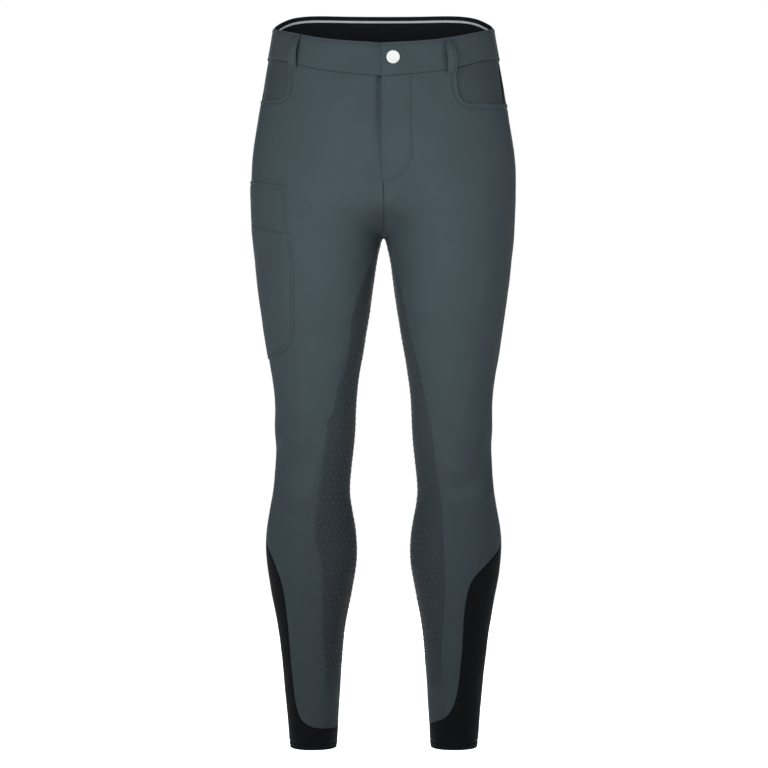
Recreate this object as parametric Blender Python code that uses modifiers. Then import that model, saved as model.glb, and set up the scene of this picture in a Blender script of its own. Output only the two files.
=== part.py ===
# Riding breeches with a grip seat and stretch cuffs, filled out as they are when worn.
# Metres, +Z up. +X is the wearer's left, the front faces -Y, and the origin is the middle
# of the waist opening, level with the top of the waistband at the sides.
#
# Every piece is cut flat, given its thickness with solidify and wrapped on one smooth form.
# A place on the form is (side, share, height). The share runs round one leg: 0 at the middle
# front or the inseam, 0.5 at the side seam, 1 at the middle back or the inseam again.

import math

import bmesh
import bpy
import numpy as np
from mathutils import Vector
from mathutils.geometry import delaunay_2d_cdt

WALL = 0.0015
BAND_WALL = 0.0020
LINING_WALL = 0.0010
PATCH_WALL = 0.0012
SEAM_GAP = 0.0003
LAYER_GAP = 0.0004
BAND_LIFT = 0.0004
HEM_HEIGHT = -0.9915
FORM_TOP = 0.050

LEFT = 1
RIGHT = -1
FRONT = 0
BACK = 1

# The form: one oval for each leg, run together at the crotch and blended into the torso.
LEG_SECTIONS = (
    # height, middle x, half width, front y, back y, squareness
    (-0.110, 0.0660, 0.1040, -0.117, 0.128, 2.25),
    (-0.150, 0.0700, 0.1080, -0.118, 0.134, 2.25),
    (-0.190, 0.0755, 0.1060, -0.117, 0.138, 2.20),
    (-0.225, 0.0810, 0.1015, -0.114, 0.137, 2.20),
    (-0.260, 0.0880, 0.0940, -0.109, 0.128, 2.15),
    (-0.289, 0.0910, 0.0890, -0.103, 0.112, 2.10),
    (-0.320, 0.0925, 0.0840, -0.098, 0.098, 2.10),
    (-0.360, 0.0933, 0.0788, -0.095, 0.088, 2.10),
    (-0.400, 0.0933, 0.0731, -0.091, 0.078, 2.10),
    (-0.450, 0.0936, 0.0652, -0.085, 0.067, 2.10),
    (-0.500, 0.0935, 0.0573, -0.078, 0.058, 2.10),
    (-0.540, 0.0932, 0.0550, -0.073, 0.052, 2.15),
    (-0.590, 0.0955, 0.0531, -0.068, 0.048, 2.15),
    (-0.640, 0.0995, 0.0532, -0.060, 0.055, 2.10),
    (-0.690, 0.1000, 0.0612, -0.053, 0.069, 2.10),
    (-0.730, 0.0996, 0.0627, -0.050, 0.075, 2.10),
    (-0.780, 0.0997, 0.0552, -0.047, 0.071, 2.10),
    (-0.830, 0.0996, 0.0462, -0.043, 0.061, 2.10),
    (-0.880, 0.0987, 0.0409, -0.040, 0.053, 2.10),
    (-0.930, 0.0978, 0.0367, -0.037, 0.048, 2.10),
    (-0.9915, 0.0970, 0.0324, -0.035, 0.045, 2.10),
)
TORSO_SECTIONS = (
    # height, half width, front y, back y, front squareness, back squareness
    (0.050, 0.1480, -0.104, 0.102, 2.25, 2.50),
    (0.000, 0.1518, -0.107, 0.104, 2.25, 2.50),
    (-0.040, 0.1584, -0.111, 0.110, 2.25, 2.50),
    (-0.080, 0.1654, -0.115, 0.119, 2.25, 2.45),
    (-0.120, 0.1722, -0.117, 0.128, 2.25, 2.40),
    (-0.160, 0.1786, -0.118, 0.135, 2.25, 2.35),
    (-0.200, 0.1826, -0.117, 0.138, 2.25, 2.30),
    (-0.240, 0.1828, -0.113, 0.136, 2.25, 2.30),
    (-0.289, 0.1805, -0.104, 0.120, 2.20, 2.20),
)
TORSO_MIDDLE_Y = 0.004
TORSO_BLEND = (-0.290, -0.170)
MIDDLE_DROP = 0.070
MIDDLE_WIDTH = 0.060
FILLET_LOW = 0.008
FILLET_HIGH = 0.078
FILLET_BLEND = (-0.300, -0.180)

# Waistband: the height of its top edge and of the seam under it.
WAIST_ROWS = (
    # share, top edge, seam
    (0.00, -0.0335, -0.0790),
    (0.12, -0.0300, -0.0735),
    (0.23, -0.0225, -0.0645),
    (0.31, -0.0145, -0.0545),
    (0.40, -0.0065, -0.0465),
    (0.50, 0.0020, -0.0380),
    (0.60, 0.0145, -0.0260),
    (0.66, 0.0230, -0.0180),
    (0.74, 0.0298, -0.0110),
    (0.85, 0.0318, -0.0085),
    (1.00, 0.0320, -0.0080),
)

# Fly: the left front laps over the right front, which reaches under it.
FLY_BOTTOM = -0.222
LAP_TOP_PAST_MIDDLE = 0.0028
LAP_UNDER_PAST_MIDDLE = 0.0140
BAND_TOP_PAST_MIDDLE = 0.0034
BAND_UNDER_PAST_MIDDLE = 0.0270
LAP_EDGE_END = -0.213
LAP_FLAT = 0.006
LAP_RAMP = 0.022
LAP_RUN_OUT = 0.028

# Heights where the two solids of each grip, and of each outer back, meet.
GRIP_JOIN = -0.500
BACK_JOIN = -0.420

# Front edge of the grip pieces on each leg, measured round from the inseam.
GRIP_FRONT = {
    LEFT: (
        # from the inseam, height
        (0.020, -0.3000),
        (0.029, -0.3260),
        (0.043, -0.3630),
        (0.051, -0.4200),
        (0.055, GRIP_JOIN),
        (0.062, -0.5500),
        (0.061, -0.6200),
        (0.071, -0.6650),
        (0.082, -0.7200),
        (0.078, -0.7650),
        (0.062, -0.8180),
        (0.051, -0.8600),
    ),
    RIGHT: (
        (0.030, -0.3000),
        (0.054, -0.3250),
        (0.067, -0.3630),
        (0.071, -0.4200),
        (0.072, GRIP_JOIN),
        (0.080, -0.5650),
        (0.082, -0.6300),
        (0.094, -0.6700),
        (0.106, -0.7250),
        (0.099, -0.7850),
        (0.081, -0.8530),
    ),
}

# Outer edge of the seat and grip piece at the back, measured round from the side seam.
GRIP_BACK = (
    # behind the side seam, height
    (0.170, -0.0870),
    (0.128, -0.1020),
    (0.102, -0.1350),
    (0.092, -0.1900),
    (0.093, -0.2600),
    (0.096, -0.3400),
    (0.093, BACK_JOIN),
    (0.084, GRIP_JOIN),
    (0.077, -0.6000),
    (0.081, -0.6700),
)
SEAT_TOP = -0.085

# Upper edge of the black cuff round each leg, from the inseam and back to it.
CUFF_EDGE = {
    LEFT: (
        # share, height
        (0.000, -0.9590),
        (0.100, -0.9555),
        (0.190, -0.9475),
        (0.238, -0.9330),
        (0.264, -0.9080),
        (0.278, -0.8600),
        (0.283, -0.8000),
        (0.303, -0.7630),
        (0.345, -0.7440),
        (0.407, -0.7265),
        (0.500, -0.7080),
        (0.600, -0.7000),
        (0.700, -0.7140),
        (0.790, -0.7550),
        (0.840, -0.8150),
        (0.865, -0.8800),
        (0.905, -0.9350),
        (1.000, -0.9590),
    ),
    RIGHT: (
        (0.000, -0.9620),
        (0.137, -0.9630),
        (0.240, -0.9605),
        (0.303, -0.9530),
        (0.337, -0.9400),
        (0.358, -0.9150),
        (0.364, -0.8700),
        (0.361, -0.8100),
        (0.364, -0.7750),
        (0.380, -0.7500),
        (0.420, -0.7240),
        (0.500, -0.7030),
        (0.610, -0.6960),
        (0.710, -0.7090),
        (0.800, -0.7500),
        (0.855, -0.8150),
        (0.885, -0.8800),
        (0.920, -0.9350),
        (1.000, -0.9620),
    ),
}
CUFF_AT_GRIP = 2
CUFF_AT_SIDE = {LEFT: 10, RIGHT: 11}
CUFF_AT_BACK = {LEFT: 12, RIGHT: 13}

# Mouth of each hand pocket: the share where it leaves the waistband, then its edge.
MOUTH_SHARE = {LEFT: 0.2195, RIGHT: 0.3045}
MOUTH_EDGE = {
    LEFT: (
        # ahead of the side seam, height
        (0.1305, -0.0850),
        (0.1310, -0.1000),
        (0.1260, -0.1095),
        (0.1120, -0.1125),
        (0.0600, -0.1090),
        (0.0000, -0.1035),
    ),
    RIGHT: (
        (0.0930, -0.0780),
        (0.0960, -0.0930),
        (0.0925, -0.1020),
        (0.0790, -0.1045),
        (0.0400, -0.1020),
        (0.0000, -0.0990),
    ),
}
FACING_MARGIN = 0.014
FACING_SHARE = {LEFT: 0.1885, RIGHT: 0.2735}

# Phone pocket on the right thigh, measured ahead of the side seam.
PHONE_TOP = ((0.0000, -0.2100), (0.0430, -0.2130), (0.1220, -0.2235))
PHONE_MOUTH = ((0.0000, -0.2670), (0.0400, -0.2742), (0.1195, -0.2900))
PHONE_BOTTOM = (
    (0.1080, -0.3510),
    (0.0960, -0.4040),
    (0.0890, -0.4250),
    (0.0760, -0.4420),
    (0.0540, -0.4520),
    (0.0310, -0.4560),
    (0.0000, -0.4570),
)

# Belt loops: where each strap's middle lies, and the heights of its ends.
LOOP_WIDTH = 0.0132
LOOP_ARCH = 0.0024
BELT_LOOPS = (
    # name, side, share, top, bottom
    ("belt_loop_front_left", LEFT, 0.2030, -0.0285, -0.0745),
    ("belt_loop_front_right", RIGHT, 0.2830, -0.0200, -0.0655),
    ("belt_loop_side_left", LEFT, 0.5300, 0.0010, -0.0440),
    ("belt_loop_side_right", RIGHT, 0.5300, 0.0010, -0.0440),
    ("belt_loop_back", LEFT, 1.0000, 0.0270, -0.0180),
)

BUTTON_SHARE = 0.028
BUTTON_HEIGHT = -0.0540
BUTTON_RADIUS = 0.0090
BUTTON_THICKNESS = 0.0030
BUTTON_EDGE = 0.0009

# Mesh: the spacing of the points on the flat pieces.
FLAT_GIRTH = 0.450
COLUMN = 0.021
ROW = 0.026
CROTCH_ROWS = (0.002, 0.006, 0.012)
CROTCH_ROW_SHARE = 0.11
CLEARANCE = 0.0085
WAIST_STEP = 0.045
LINING_SHARE = 0.45
LINING_ABOVE_SEAM = 0.002

COLOURS = {
    # name: red, green, blue, roughness
    "stretch_cloth": (0.061, 0.082, 0.093, 0.80),
    "grip_cloth": (0.048, 0.066, 0.076, 0.72),
    "facing_cloth": (0.042, 0.058, 0.066, 0.85),
    "black_stretch": (0.008, 0.009, 0.010, 0.85),
    "black_lining": (0.009, 0.010, 0.011, 0.80),
    "white_gloss": (0.900, 0.910, 0.905, 0.30),
}


def clear_scene():
    for item in list(bpy.data.objects):
        bpy.data.objects.remove(item, do_unlink=True)


def spline(rows, column):
    """Natural cubic through one column of a table, against its first column."""
    table = np.array(sorted(rows))
    knots, values = table[:, 0], table[:, column]
    gap = np.diff(knots)
    count = len(knots)
    system = np.eye(count)
    target = np.zeros(count)
    for i in range(1, count - 1):
        system[i, i - 1:i + 2] = gap[i - 1], 2 * (gap[i - 1] + gap[i]), gap[i]
        slopes = (values[i + 1] - values[i]) / gap[i], (values[i] - values[i - 1]) / gap[i - 1]
        target[i] = 6 * (slopes[0] - slopes[1])
    bend = np.linalg.solve(system, target)

    def at(place):
        place = np.clip(place, knots[0], knots[-1])
        i = np.clip(np.searchsorted(knots, place) - 1, 0, count - 2)
        a = (knots[i + 1] - place) / gap[i]
        b = (place - knots[i]) / gap[i]
        cubic = (a ** 3 - a) * bend[i] + (b ** 3 - b) * bend[i + 1]
        return a * values[i] + b * values[i + 1] + cubic * gap[i] ** 2 / 6

    return at


LEG = [spline(LEG_SECTIONS, column) for column in range(1, 6)]
TORSO = [spline(TORSO_SECTIONS, column) for column in range(1, 6)]
BAND_TOP = spline(WAIST_ROWS, 1)
WAIST_SEAM = spline(WAIST_ROWS, 2)


def smooth_step(low, high, value):
    t = np.clip((value - low) / (high - low), 0, 1)
    return t * t * (3 - 2 * t)


def oval(dx, dy, half_width, front, back, powers):
    """Distance outside a squared oval that is deeper on one side than on the other."""
    depth = np.where(dy < 0, front, back)
    power = np.where(dy < 0, powers[0], powers[1])
    ratio = (np.abs(dx / half_width) ** power + np.abs(dy / depth) ** power) ** (1 / power)
    return (ratio - 1) * (half_width + depth) / 2


def outside(x, y, height):
    """The form: below zero inside it, zero on it, above zero outside."""
    middle_x, half_width, front, back, power = [column(height) for column in LEG]
    middle_y = (front + back) / 2
    depth = (back - front) / 2
    left = oval(x - middle_x, y - middle_y, half_width, depth, depth, (power, power))
    right = oval(x + middle_x, y - middle_y, half_width, depth, depth, (power, power))
    fillet = FILLET_LOW + (FILLET_HIGH - FILLET_LOW) * smooth_step(*FILLET_BLEND, height)
    shared = np.maximum(fillet - np.abs(left - right), 0) / fillet
    legs = np.minimum(left, right) - shared ** 2 * fillet / 4
    half_width, front, back, front_power, back_power = [column(height) for column in TORSO]
    front, back = TORSO_MIDDLE_Y - front, back - TORSO_MIDDLE_Y
    body = oval(x, y - TORSO_MIDDLE_Y, half_width, front, back, (front_power, back_power))
    low, high = TORSO_BLEND
    blend = smooth_step(low, high - MIDDLE_DROP * np.exp(-(x / MIDDLE_WIDTH) ** 2), height)
    return (1 - blend) * legs + blend * body


def reach(x, y, dx, dy, height, far):
    """How far a ray from inside the form runs before it leaves it, by halving."""
    near = np.zeros_like(far)
    for _ in range(28):
        middle = (near + far) / 2
        inside = outside(x + dx * middle, y + dy * middle, height) < 0
        near = np.where(inside, middle, near)
        far = np.where(inside, far, middle)
    return (near + far) / 2


def find_crotch():
    """Height and depth of the point where the two legs part."""
    y = np.linspace(-0.04, 0.04, 161)
    low, high = -0.32, -0.26
    for _ in range(30):
        middle = (low + high) / 2
        if outside(0 * y, y, np.full_like(y, middle)).min() < 0:
            high = middle
        else:
            low = middle
    return middle, y[np.argmin(outside(0 * y, y, np.full_like(y, middle)))]


CROTCH_HEIGHT, CROTCH_Y = find_crotch()
LEVEL_STEP = 0.006
RING_POINTS = 91
ROUNDING = 1e-6


def level_of(height):
    """Square root of the distance from the crotch, in which the rings change evenly."""
    rise = np.asarray(height, float) - CROTCH_HEIGHT
    return np.sign(rise) * np.sqrt(np.abs(rise))


def half_ring(direction, heights):
    """Evenly spaced points from the side to the middle front (-1) or middle back (+1)."""
    middle_x, _, front, back, _ = [column(heights) for column in LEG]
    middle_y = (front + back) / 2
    flat = np.zeros_like(heights)
    meet = reach(flat, flat + CROTCH_Y, flat, flat + direction, heights, flat + 0.2)
    end = np.arctan2(CROTCH_Y + direction * meet - middle_y, -middle_x)
    end = np.where(direction * end < 0, end + direction * 2 * math.pi, end)
    end = np.where(heights > CROTCH_HEIGHT, end, direction * math.pi)
    angle = end[:, None] * np.linspace(0, 1, 2 * RING_POINTS)
    dx, dy = np.cos(angle), np.sin(angle)
    to_middle_plane = np.where(dx < -1e-6, middle_x[:, None] / np.maximum(-dx, 1e-6), 1.0)
    far = np.minimum(to_middle_plane, 0.26)
    heights = np.repeat(heights[:, None], angle.shape[1], 1)
    run = reach(middle_x[:, None], middle_y[:, None], dx, dy, heights, far)
    points = np.stack([middle_x[:, None] + dx * run, middle_y[:, None] + dy * run], -1)
    steps = np.linalg.norm(np.diff(points, axis=1), axis=2)
    walked = np.concatenate([np.zeros((len(points), 1)), np.cumsum(steps, 1)], 1)
    evenly = np.linspace(0, 1, RING_POINTS)
    rings = [
        [np.interp(evenly * way[-1], way, ring[:, axis]) for axis in (0, 1)]
        for way, ring in zip(walked, points)
    ]
    return np.array(rings).transpose(0, 2, 1), walked[:, -1]


LEVELS = np.arange(level_of(HEM_HEIGHT), level_of(FORM_TOP) + LEVEL_STEP, LEVEL_STEP)
LEVEL_HEIGHTS = np.sign(LEVELS) * LEVELS ** 2 + CROTCH_HEIGHT
FRONT_RINGS, FRONT_LENGTHS = half_ring(-1, LEVEL_HEIGHTS)
BACK_RINGS, BACK_LENGTHS = half_ring(1, LEVEL_HEIGHTS)
RINGS = np.concatenate([FRONT_RINGS[:, ::-1], BACK_RINGS[:, 1:]], 1)
HALF_LENGTHS = (FRONT_LENGTHS, BACK_LENGTHS)


def half_length(half, height):
    return np.interp(level_of(height), LEVELS, HALF_LENGTHS[half])


def ring_point(share, height):
    """Point of the left half of the form, between four points of the ring table."""
    level = (level_of(height) - LEVELS[0]) / LEVEL_STEP
    row = np.clip(level.astype(int), 0, len(LEVELS) - 2)
    up = np.clip(level - row, 0, 1)[:, None]
    place = np.clip(share, 0, 1) * (RINGS.shape[1] - 1)
    column = np.clip(place.astype(int), 0, RINGS.shape[1] - 2)
    along = (place - column)[:, None]
    low = (1 - along) * RINGS[row, column] + along * RINGS[row, column + 1]
    high = (1 - along) * RINGS[row + 1, column] + along * RINGS[row + 1, column + 1]
    return (1 - up) * low + up * high


def outward(points):
    """Unit direction straight out of the form at each point."""
    probe = 0.0005
    slope = np.zeros_like(points)
    for axis in range(3):
        step = np.zeros(3)
        step[axis] = probe
        slope[:, axis] = outside(*(points + step).T) - outside(*(points - step).T)
    return slope / np.linalg.norm(slope, axis=1)[:, None]


def on_form(side, share, height, lift, round_leg=False):
    """Points on the form, raised by the lift. Past a middle line, a share goes on round
    the leg or across to the other half of the torso."""
    share = np.asarray(share, float)
    height = np.asarray(height, float)
    if round_leg:
        hand = np.full_like(share, side)
        share = np.where(share < 0, share + 1, share)
    else:
        hand = np.where((share < 0) | (share > 1), -side, side)
        share = np.where(share < 0, -share, np.where(share > 1, 2 - share, share))
    flat = ring_point(share, height)
    points = np.stack([flat[:, 0] * hand, flat[:, 1], height], 1)
    return points + outward(points) * np.asarray(lift)[..., None]


def ahead(distance, height):
    """Share of a place that far ahead of the side seam."""
    return 0.5 - 0.5 * distance / half_length(FRONT, height)


def behind(distance, height):
    return 0.5 + 0.5 * distance / half_length(BACK, height)


def from_middle(distance, height):
    return 0.5 * distance / half_length(FRONT, height)


def smooth_line(rows, spacing, stretch=1.0):
    """Even curve through every row, with points between the rows."""
    points = [Vector((across * stretch, height)) for across, height in rows]
    padded = [2 * points[0] - points[1], *points, 2 * points[-1] - points[-2]]
    pieces = []
    for before, start, end, after in zip(padded, padded[1:], padded[2:], padded[3:]):
        count = max(1, math.ceil((end - start).length / spacing))
        piece = [start]
        for k in range(1, count):
            t = k / count
            bend = (2 * before - 5 * start + 4 * end - after) * t * t
            twist = (3 * start - before - 3 * end + after) * t ** 3
            piece.append((2 * start + (end - before) * t + bend + twist) / 2)
        pieces.append(piece)
    pieces.append([points[-1]])
    return [[(p.x / stretch, p.y) for p in piece] for piece in pieces]


def join(pieces):
    return [point for piece in pieces for point in piece]


def stations(high, low, near_crotch=False):
    """Heights between two ends, closer together just above the crotch."""
    count = max(1, math.ceil((high - low) / ROW))
    heights = [high + (low - high) * k / count for k in range(count + 1)]
    if near_crotch:
        heights += [CROTCH_HEIGHT + rise for rise in CROTCH_ROWS]
    return sorted(set(heights), reverse=True)


def waist_seam(side, first, last):
    """The seam under the waistband between two shares, with the same points for each piece."""
    lap_ends = from_middle(np.array([LAP_FLAT, BAND_UNDER_PAST_MIDDLE]), WAIST_SEAM(0))
    fixed = [*lap_ends.tolist(), FACING_SHARE[side], MOUTH_SHARE[side], 0.5, 1.0]
    shares = list(fixed)
    for step in range(-1, math.ceil(1 / WAIST_STEP)):
        share = step * WAIST_STEP
        if min(abs(share - place) for place in fixed) > WAIST_STEP / 4:
            shares.append(share)
    shares += [2 - share for share in shares if 0 < share < 1]
    shares = [first, *[share for share in sorted(shares) if first < share < last], last]
    return [(share, waist_height(WAIST_SEAM, share)) for share in shares]


def waist_height(column, share):
    """Height along the waistband, which is the same on both halves of the torso."""
    return float(column(abs(share) if share <= 1 else 2 - share))


def band_top(side, first, last):
    return [(share, waist_height(BAND_TOP, share)) for share, _ in waist_seam(side, first, last)]


def side_seam(side, high, low):
    """Points down the side seam, through every place where another line meets it."""
    mouth = MOUTH_EDGE[side][-1][1]
    meetings = [waist_height(WAIST_SEAM, 0.5), mouth, mouth - FACING_MARGIN]
    if side == RIGHT:
        meetings += [PHONE_TOP[0][1], PHONE_MOUTH[0][1], PHONE_BOTTOM[-1][1]]
    meetings += [BACK_JOIN, CUFF_EDGE[side][CUFF_AT_SIDE[side]][1]]
    meetings.sort(reverse=True)
    heights = [meetings[0]]
    for start, end in zip(meetings, meetings[1:]):
        heights += stations(start, end)[1:]
    return [(0.5, height) for height in heights if low - ROUNDING < height < high + ROUNDING]


def cuff_edge(side, first, last):
    """Upper edge of the cuff between two rows of its table."""
    rows = smooth_line(CUFF_EDGE[side], ROW, FLAT_GIRTH / 1.5)
    last = len(CUFF_EDGE[side]) - 1 if last is None else last
    return join(rows[first:last]) + [rows[last][0]]


def grip_front(side):
    """Seam from the crotch down the inner leg to the cuff."""
    end = CUFF_EDGE[side][CUFF_AT_GRIP]
    end_distance = end[0] * 2 * float(half_length(FRONT, end[1]))
    rows = [(0.0, CROTCH_HEIGHT), *GRIP_FRONT[side], (end_distance, end[1])]
    line = join(smooth_line(rows, ROW))
    return [(float(from_middle(distance, height)), height) for distance, height in line]


def grip_back(side):
    """Seam from the middle back round the seat and down to the cuff."""
    end = CUFF_EDGE[side][CUFF_AT_BACK[side]]
    end_distance = (end[0] - 0.5) * 2 * float(half_length(BACK, end[1]))
    start = float(half_length(BACK, SEAT_TOP))
    rows = [(start, SEAT_TOP), *GRIP_BACK, (end_distance, end[1])]
    line = join(smooth_line(rows, ROW))
    return [(float(behind(distance, height)), height) for distance, height in line]


def mouth_edge(side, share, margin=0.0):
    """Edge of the hand pocket from the waistband to the side seam, moved out by a margin."""
    height = waist_height(WAIST_SEAM, share)
    start = (1 - 2 * share) * float(half_length(FRONT, height))
    rows = [(distance + margin if distance else 0.0, level - margin)
            for distance, level in MOUTH_EDGE[side]]
    line = thigh_line([(start, height), *rows])
    return [(share, height), *line[1:]]


def thigh_line(rows):
    """Smooth line on a thigh through rows of (ahead of the side seam, height)."""
    line = join(smooth_line(rows, COLUMN))
    return [(float(ahead(distance, height)), height) for distance, height in line]


def signed_area(points):
    after = np.roll(points, -1, 0)
    return np.sum(points[:, 0] * after[:, 1] - points[:, 1] * after[:, 0]) / 2


def inset(outline, amount):
    """Turns a closed outline counterclockwise and moves it in by a distance on the cloth."""
    points = np.array(outline)
    if signed_area(points) < 0:
        points = points[::-1]
    share, height = points[:, 0] % 1, points[:, 1]
    scale = 2 * np.where(share < 0.5, half_length(FRONT, height), half_length(BACK, height))
    step = np.roll(points, -1, 0) - points
    across, rise = step[:, 0] * scale, step[:, 1]
    size = np.hypot(across, rise)
    to_next = np.stack([-rise / size, across / size], 1)
    both = to_next + np.roll(to_next, 1, 0)
    shift = both / np.maximum((both * both).sum(1) / 2, 0.35)[:, None] * amount
    return points + np.stack([shift[:, 0] / scale, shift[:, 1]], 1)


def clearance(points, outline):
    """Distance of each point from a closed outline, below zero outside it."""
    start, end = outline, np.roll(outline, -1, 0)
    along = end - start
    offset = points[:, None] - start
    t = np.clip((offset * along).sum(2) / (along * along).sum(1), 0, 1)
    gap = np.linalg.norm(offset - t[..., None] * along, axis=2).min(1)
    above = (start[:, 1] > points[:, None, 1]) != (end[:, 1] > points[:, None, 1])
    rise = np.where(along[:, 1] == 0, 1, along[:, 1])
    cross = start[:, 0] + (points[:, None, 1] - start[:, 1]) / rise * along[:, 0]
    crossings = (above & (points[:, None, 0] < cross)).sum(1)
    return np.where(crossings % 2 == 1, gap, -gap)


def inner_points(outline, lines):
    """Staggered rows of points inside a flat outline, clear of it and of the lines."""
    low, high = outline.min(0), outline.max(0)
    rows = [(level, False) for level in np.arange(FORM_TOP, HEM_HEIGHT, -ROW)]
    rows += [(CROTCH_HEIGHT + rise, True) for rise in CROTCH_ROWS]
    points = []
    for index, (height, crotch_only) in enumerate(rows):
        if low[1] < height < high[1]:
            first = math.floor(low[0] / COLUMN) + (index % 2) / 2
            for across in np.arange(first * COLUMN, high[0], COLUMN):
                share = across / FLAT_GIRTH % 1
                if not crotch_only or min(share, 1 - share) < CROTCH_ROW_SHARE:
                    points.append((across, height))
    points = np.array(points).reshape(-1, 2)
    kept = clearance(points, outline) > CLEARANCE
    for line in lines:
        kept &= np.abs(clearance(points, np.array([*line, *line[-2:0:-1]]))) > CLEARANCE
    return points[kept]


def material(name):
    if name not in bpy.data.materials:
        red, green, blue, roughness = COLOURS[name]
        made = bpy.data.materials.new(name)
        made.use_nodes = True
        shader = made.node_tree.nodes["Principled BSDF"]
        shader.inputs["Base Color"].default_value = (red, green, blue, 1)
        shader.inputs["Roughness"].default_value = roughness
        shader.inputs["Metallic"].default_value = 0.0
        made.diffuse_color = (red, green, blue, 1)
    return bpy.data.materials[name]


def add_object(name, mesh, colour, collection):
    mesh.materials.append(material(colour))
    made = bpy.data.objects.new(name, mesh)
    collection.objects.link(made)
    return made


def no_sink(share, height):
    return np.zeros_like(share)


def cut_flat(outline, creases, filled):
    """Triangles of a flat outline, with an edge of theirs along every crease."""
    points = [tuple(point) for point in outline]
    closed = list(range(len(points)))
    edges = []
    for crease in creases:
        first, last = [np.linalg.norm(outline - end, axis=1).argmin() for end in crease[[0, -1]]]
        chain = [int(first)]
        for point in crease[1:-1]:
            chain.append(len(points))
            points.append(tuple(point))
        chain.append(int(last))
        edges += zip(chain, chain[1:])
    if filled:
        points += [tuple(point) for point in inner_points(outline, creases)]
    flat = delaunay_2d_cdt([Vector(p) for p in points], edges, [closed], 1, 1e-7)
    corners, _, faces, _, _, owners = flat
    return corners, [face for face, owner in zip(faces, owners) if owner]


def cloth_piece(name, side, outline, colour, collection, wall=WALL, lift=0.0, creases=(),
                shape=no_sink, round_leg=False, trim=SEAM_GAP / 2, filled=True):
    """Cuts an outline of (share, height) from flat cloth and wraps it on the form."""
    flat_scale = np.array([FLAT_GIRTH, 1.0])
    outline = inset(outline, trim) * flat_scale
    creases = [np.array(crease) * flat_scale for crease in creases]
    places, faces = cut_flat(outline, creases, filled)
    sheet = bmesh.new()
    corners = [sheet.verts.new((place.x, place.y, 0)) for place in places]
    for face in faces:
        sheet.faces.new([corners[i] for i in face])
    sheet.normal_update()
    bmesh.ops.solidify(sheet, geom=sheet.faces[:], thickness=wall)
    place = np.array([corner.co for corner in sheet.verts])
    share, height = place[:, 0] / FLAT_GIRTH, place[:, 1]
    depth = lift + shape(share, height) - np.where(np.abs(place[:, 2]) > wall / 2, wall, 0)
    wrapped = on_form(side, share, height, depth, round_leg)
    for corner, point in zip(sheet.verts, wrapped):
        corner.co = point
    if sheet.calc_volume(signed=True) < 0:
        bmesh.ops.reverse_faces(sheet, faces=sheet.faces[:])
    mesh = bpy.data.meshes.new(name)
    sheet.to_mesh(mesh)
    sheet.free()
    mesh.shade_smooth()
    mesh.set_sharp_from_angle(angle=math.radians(40))
    return add_object(name, mesh, colour, collection)


def lap_sink(depth, bottom=None):
    """How far the under side of the fly lies in below the lap that covers it."""
    def shape(share, height):
        distance = share * 2 * half_length(FRONT, height)
        sink = depth * (1 - smooth_step(LAP_FLAT, LAP_RAMP, distance))
        if bottom is not None:
            sink = sink * smooth_step(bottom - LAP_RUN_OUT, bottom - 0.002, height)
        return -sink
    return shape


def fly_line(past_middle):
    """Line beside the middle front, from the foot of the fly up to the waistband seam."""
    heights = stations(waist_height(WAIST_SEAM, 0), LAP_EDGE_END)[::-1]
    line = [(float(from_middle(past_middle, height)), height) for height in heights]
    return [(0.0, FLY_BOTTOM), *line]


def front_panel(name, side, past_middle, creases, collection, shape=no_sink):
    seam = [(0.0, height) for height in stations(FLY_BOTTOM, CROTCH_HEIGHT, True)]
    lap = seam[::-1] + [(-share, height) for share, height in fly_line(past_middle)[1:]]
    mouth = mouth_edge(side, MOUTH_SHARE[side])
    cuff_line = cuff_edge(side, CUFF_AT_GRIP, CUFF_AT_SIDE[side])
    outline = waist_seam(side, lap[-1][0], mouth[0][0])[1:-1]
    outline += mouth
    outline += side_seam(side, mouth[-1][1], cuff_line[-1][1])[1:-1]
    outline += cuff_line[::-1]
    outline += grip_front(side)[1:-1][::-1]
    outline += lap
    creases = [*creases, mouth_edge(side, FACING_SHARE[side], FACING_MARGIN)]
    cloth_piece(name, side, outline, "stretch_cloth", collection, creases=creases, shape=shape)


def split_line(line, height):
    """The parts of a line above and below a height where it has a point."""
    meeting = min(range(len(line)), key=lambda k: abs(line[k][1] - height))
    return line[:meeting + 1], line[meeting:]


def level_line(start, end, height):
    """Points at one height between two shares."""
    count = math.ceil(abs(end - start) * FLAT_GIRTH / COLUMN)
    return [(start + (end - start) * k / count, height) for k in range(count + 1)]


def back_pieces(side, hand, collection):
    """Two pieces: from the waistband down the outer back of the thigh, and on to the cuff."""
    top = waist_seam(side, 0.5, 1.0)
    cuff_line = cuff_edge(side, CUFF_AT_SIDE[side], CUFF_AT_BACK[side])
    side_high, side_low = split_line(side_seam(side, top[0][1], cuff_line[0][1]), BACK_JOIN)
    grip_high, grip_low = split_line(grip_back(side), BACK_JOIN)
    across = level_line(grip_low[0][0], 0.5, BACK_JOIN)
    upper = top + [(1.0, height) for height in stations(top[-1][1], SEAT_TOP)[1:-1]]
    upper += grip_high[:-1] + across + side_high[1:-1][::-1]
    lower = grip_low[:-1] + cuff_line[::-1] + side_low[1:-1][::-1] + across[1:][::-1]
    for name, outline in (("back_" + hand, upper), ("lower_back_" + hand, lower)):
        cloth_piece(name, side, outline, "stretch_cloth", collection)


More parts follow.
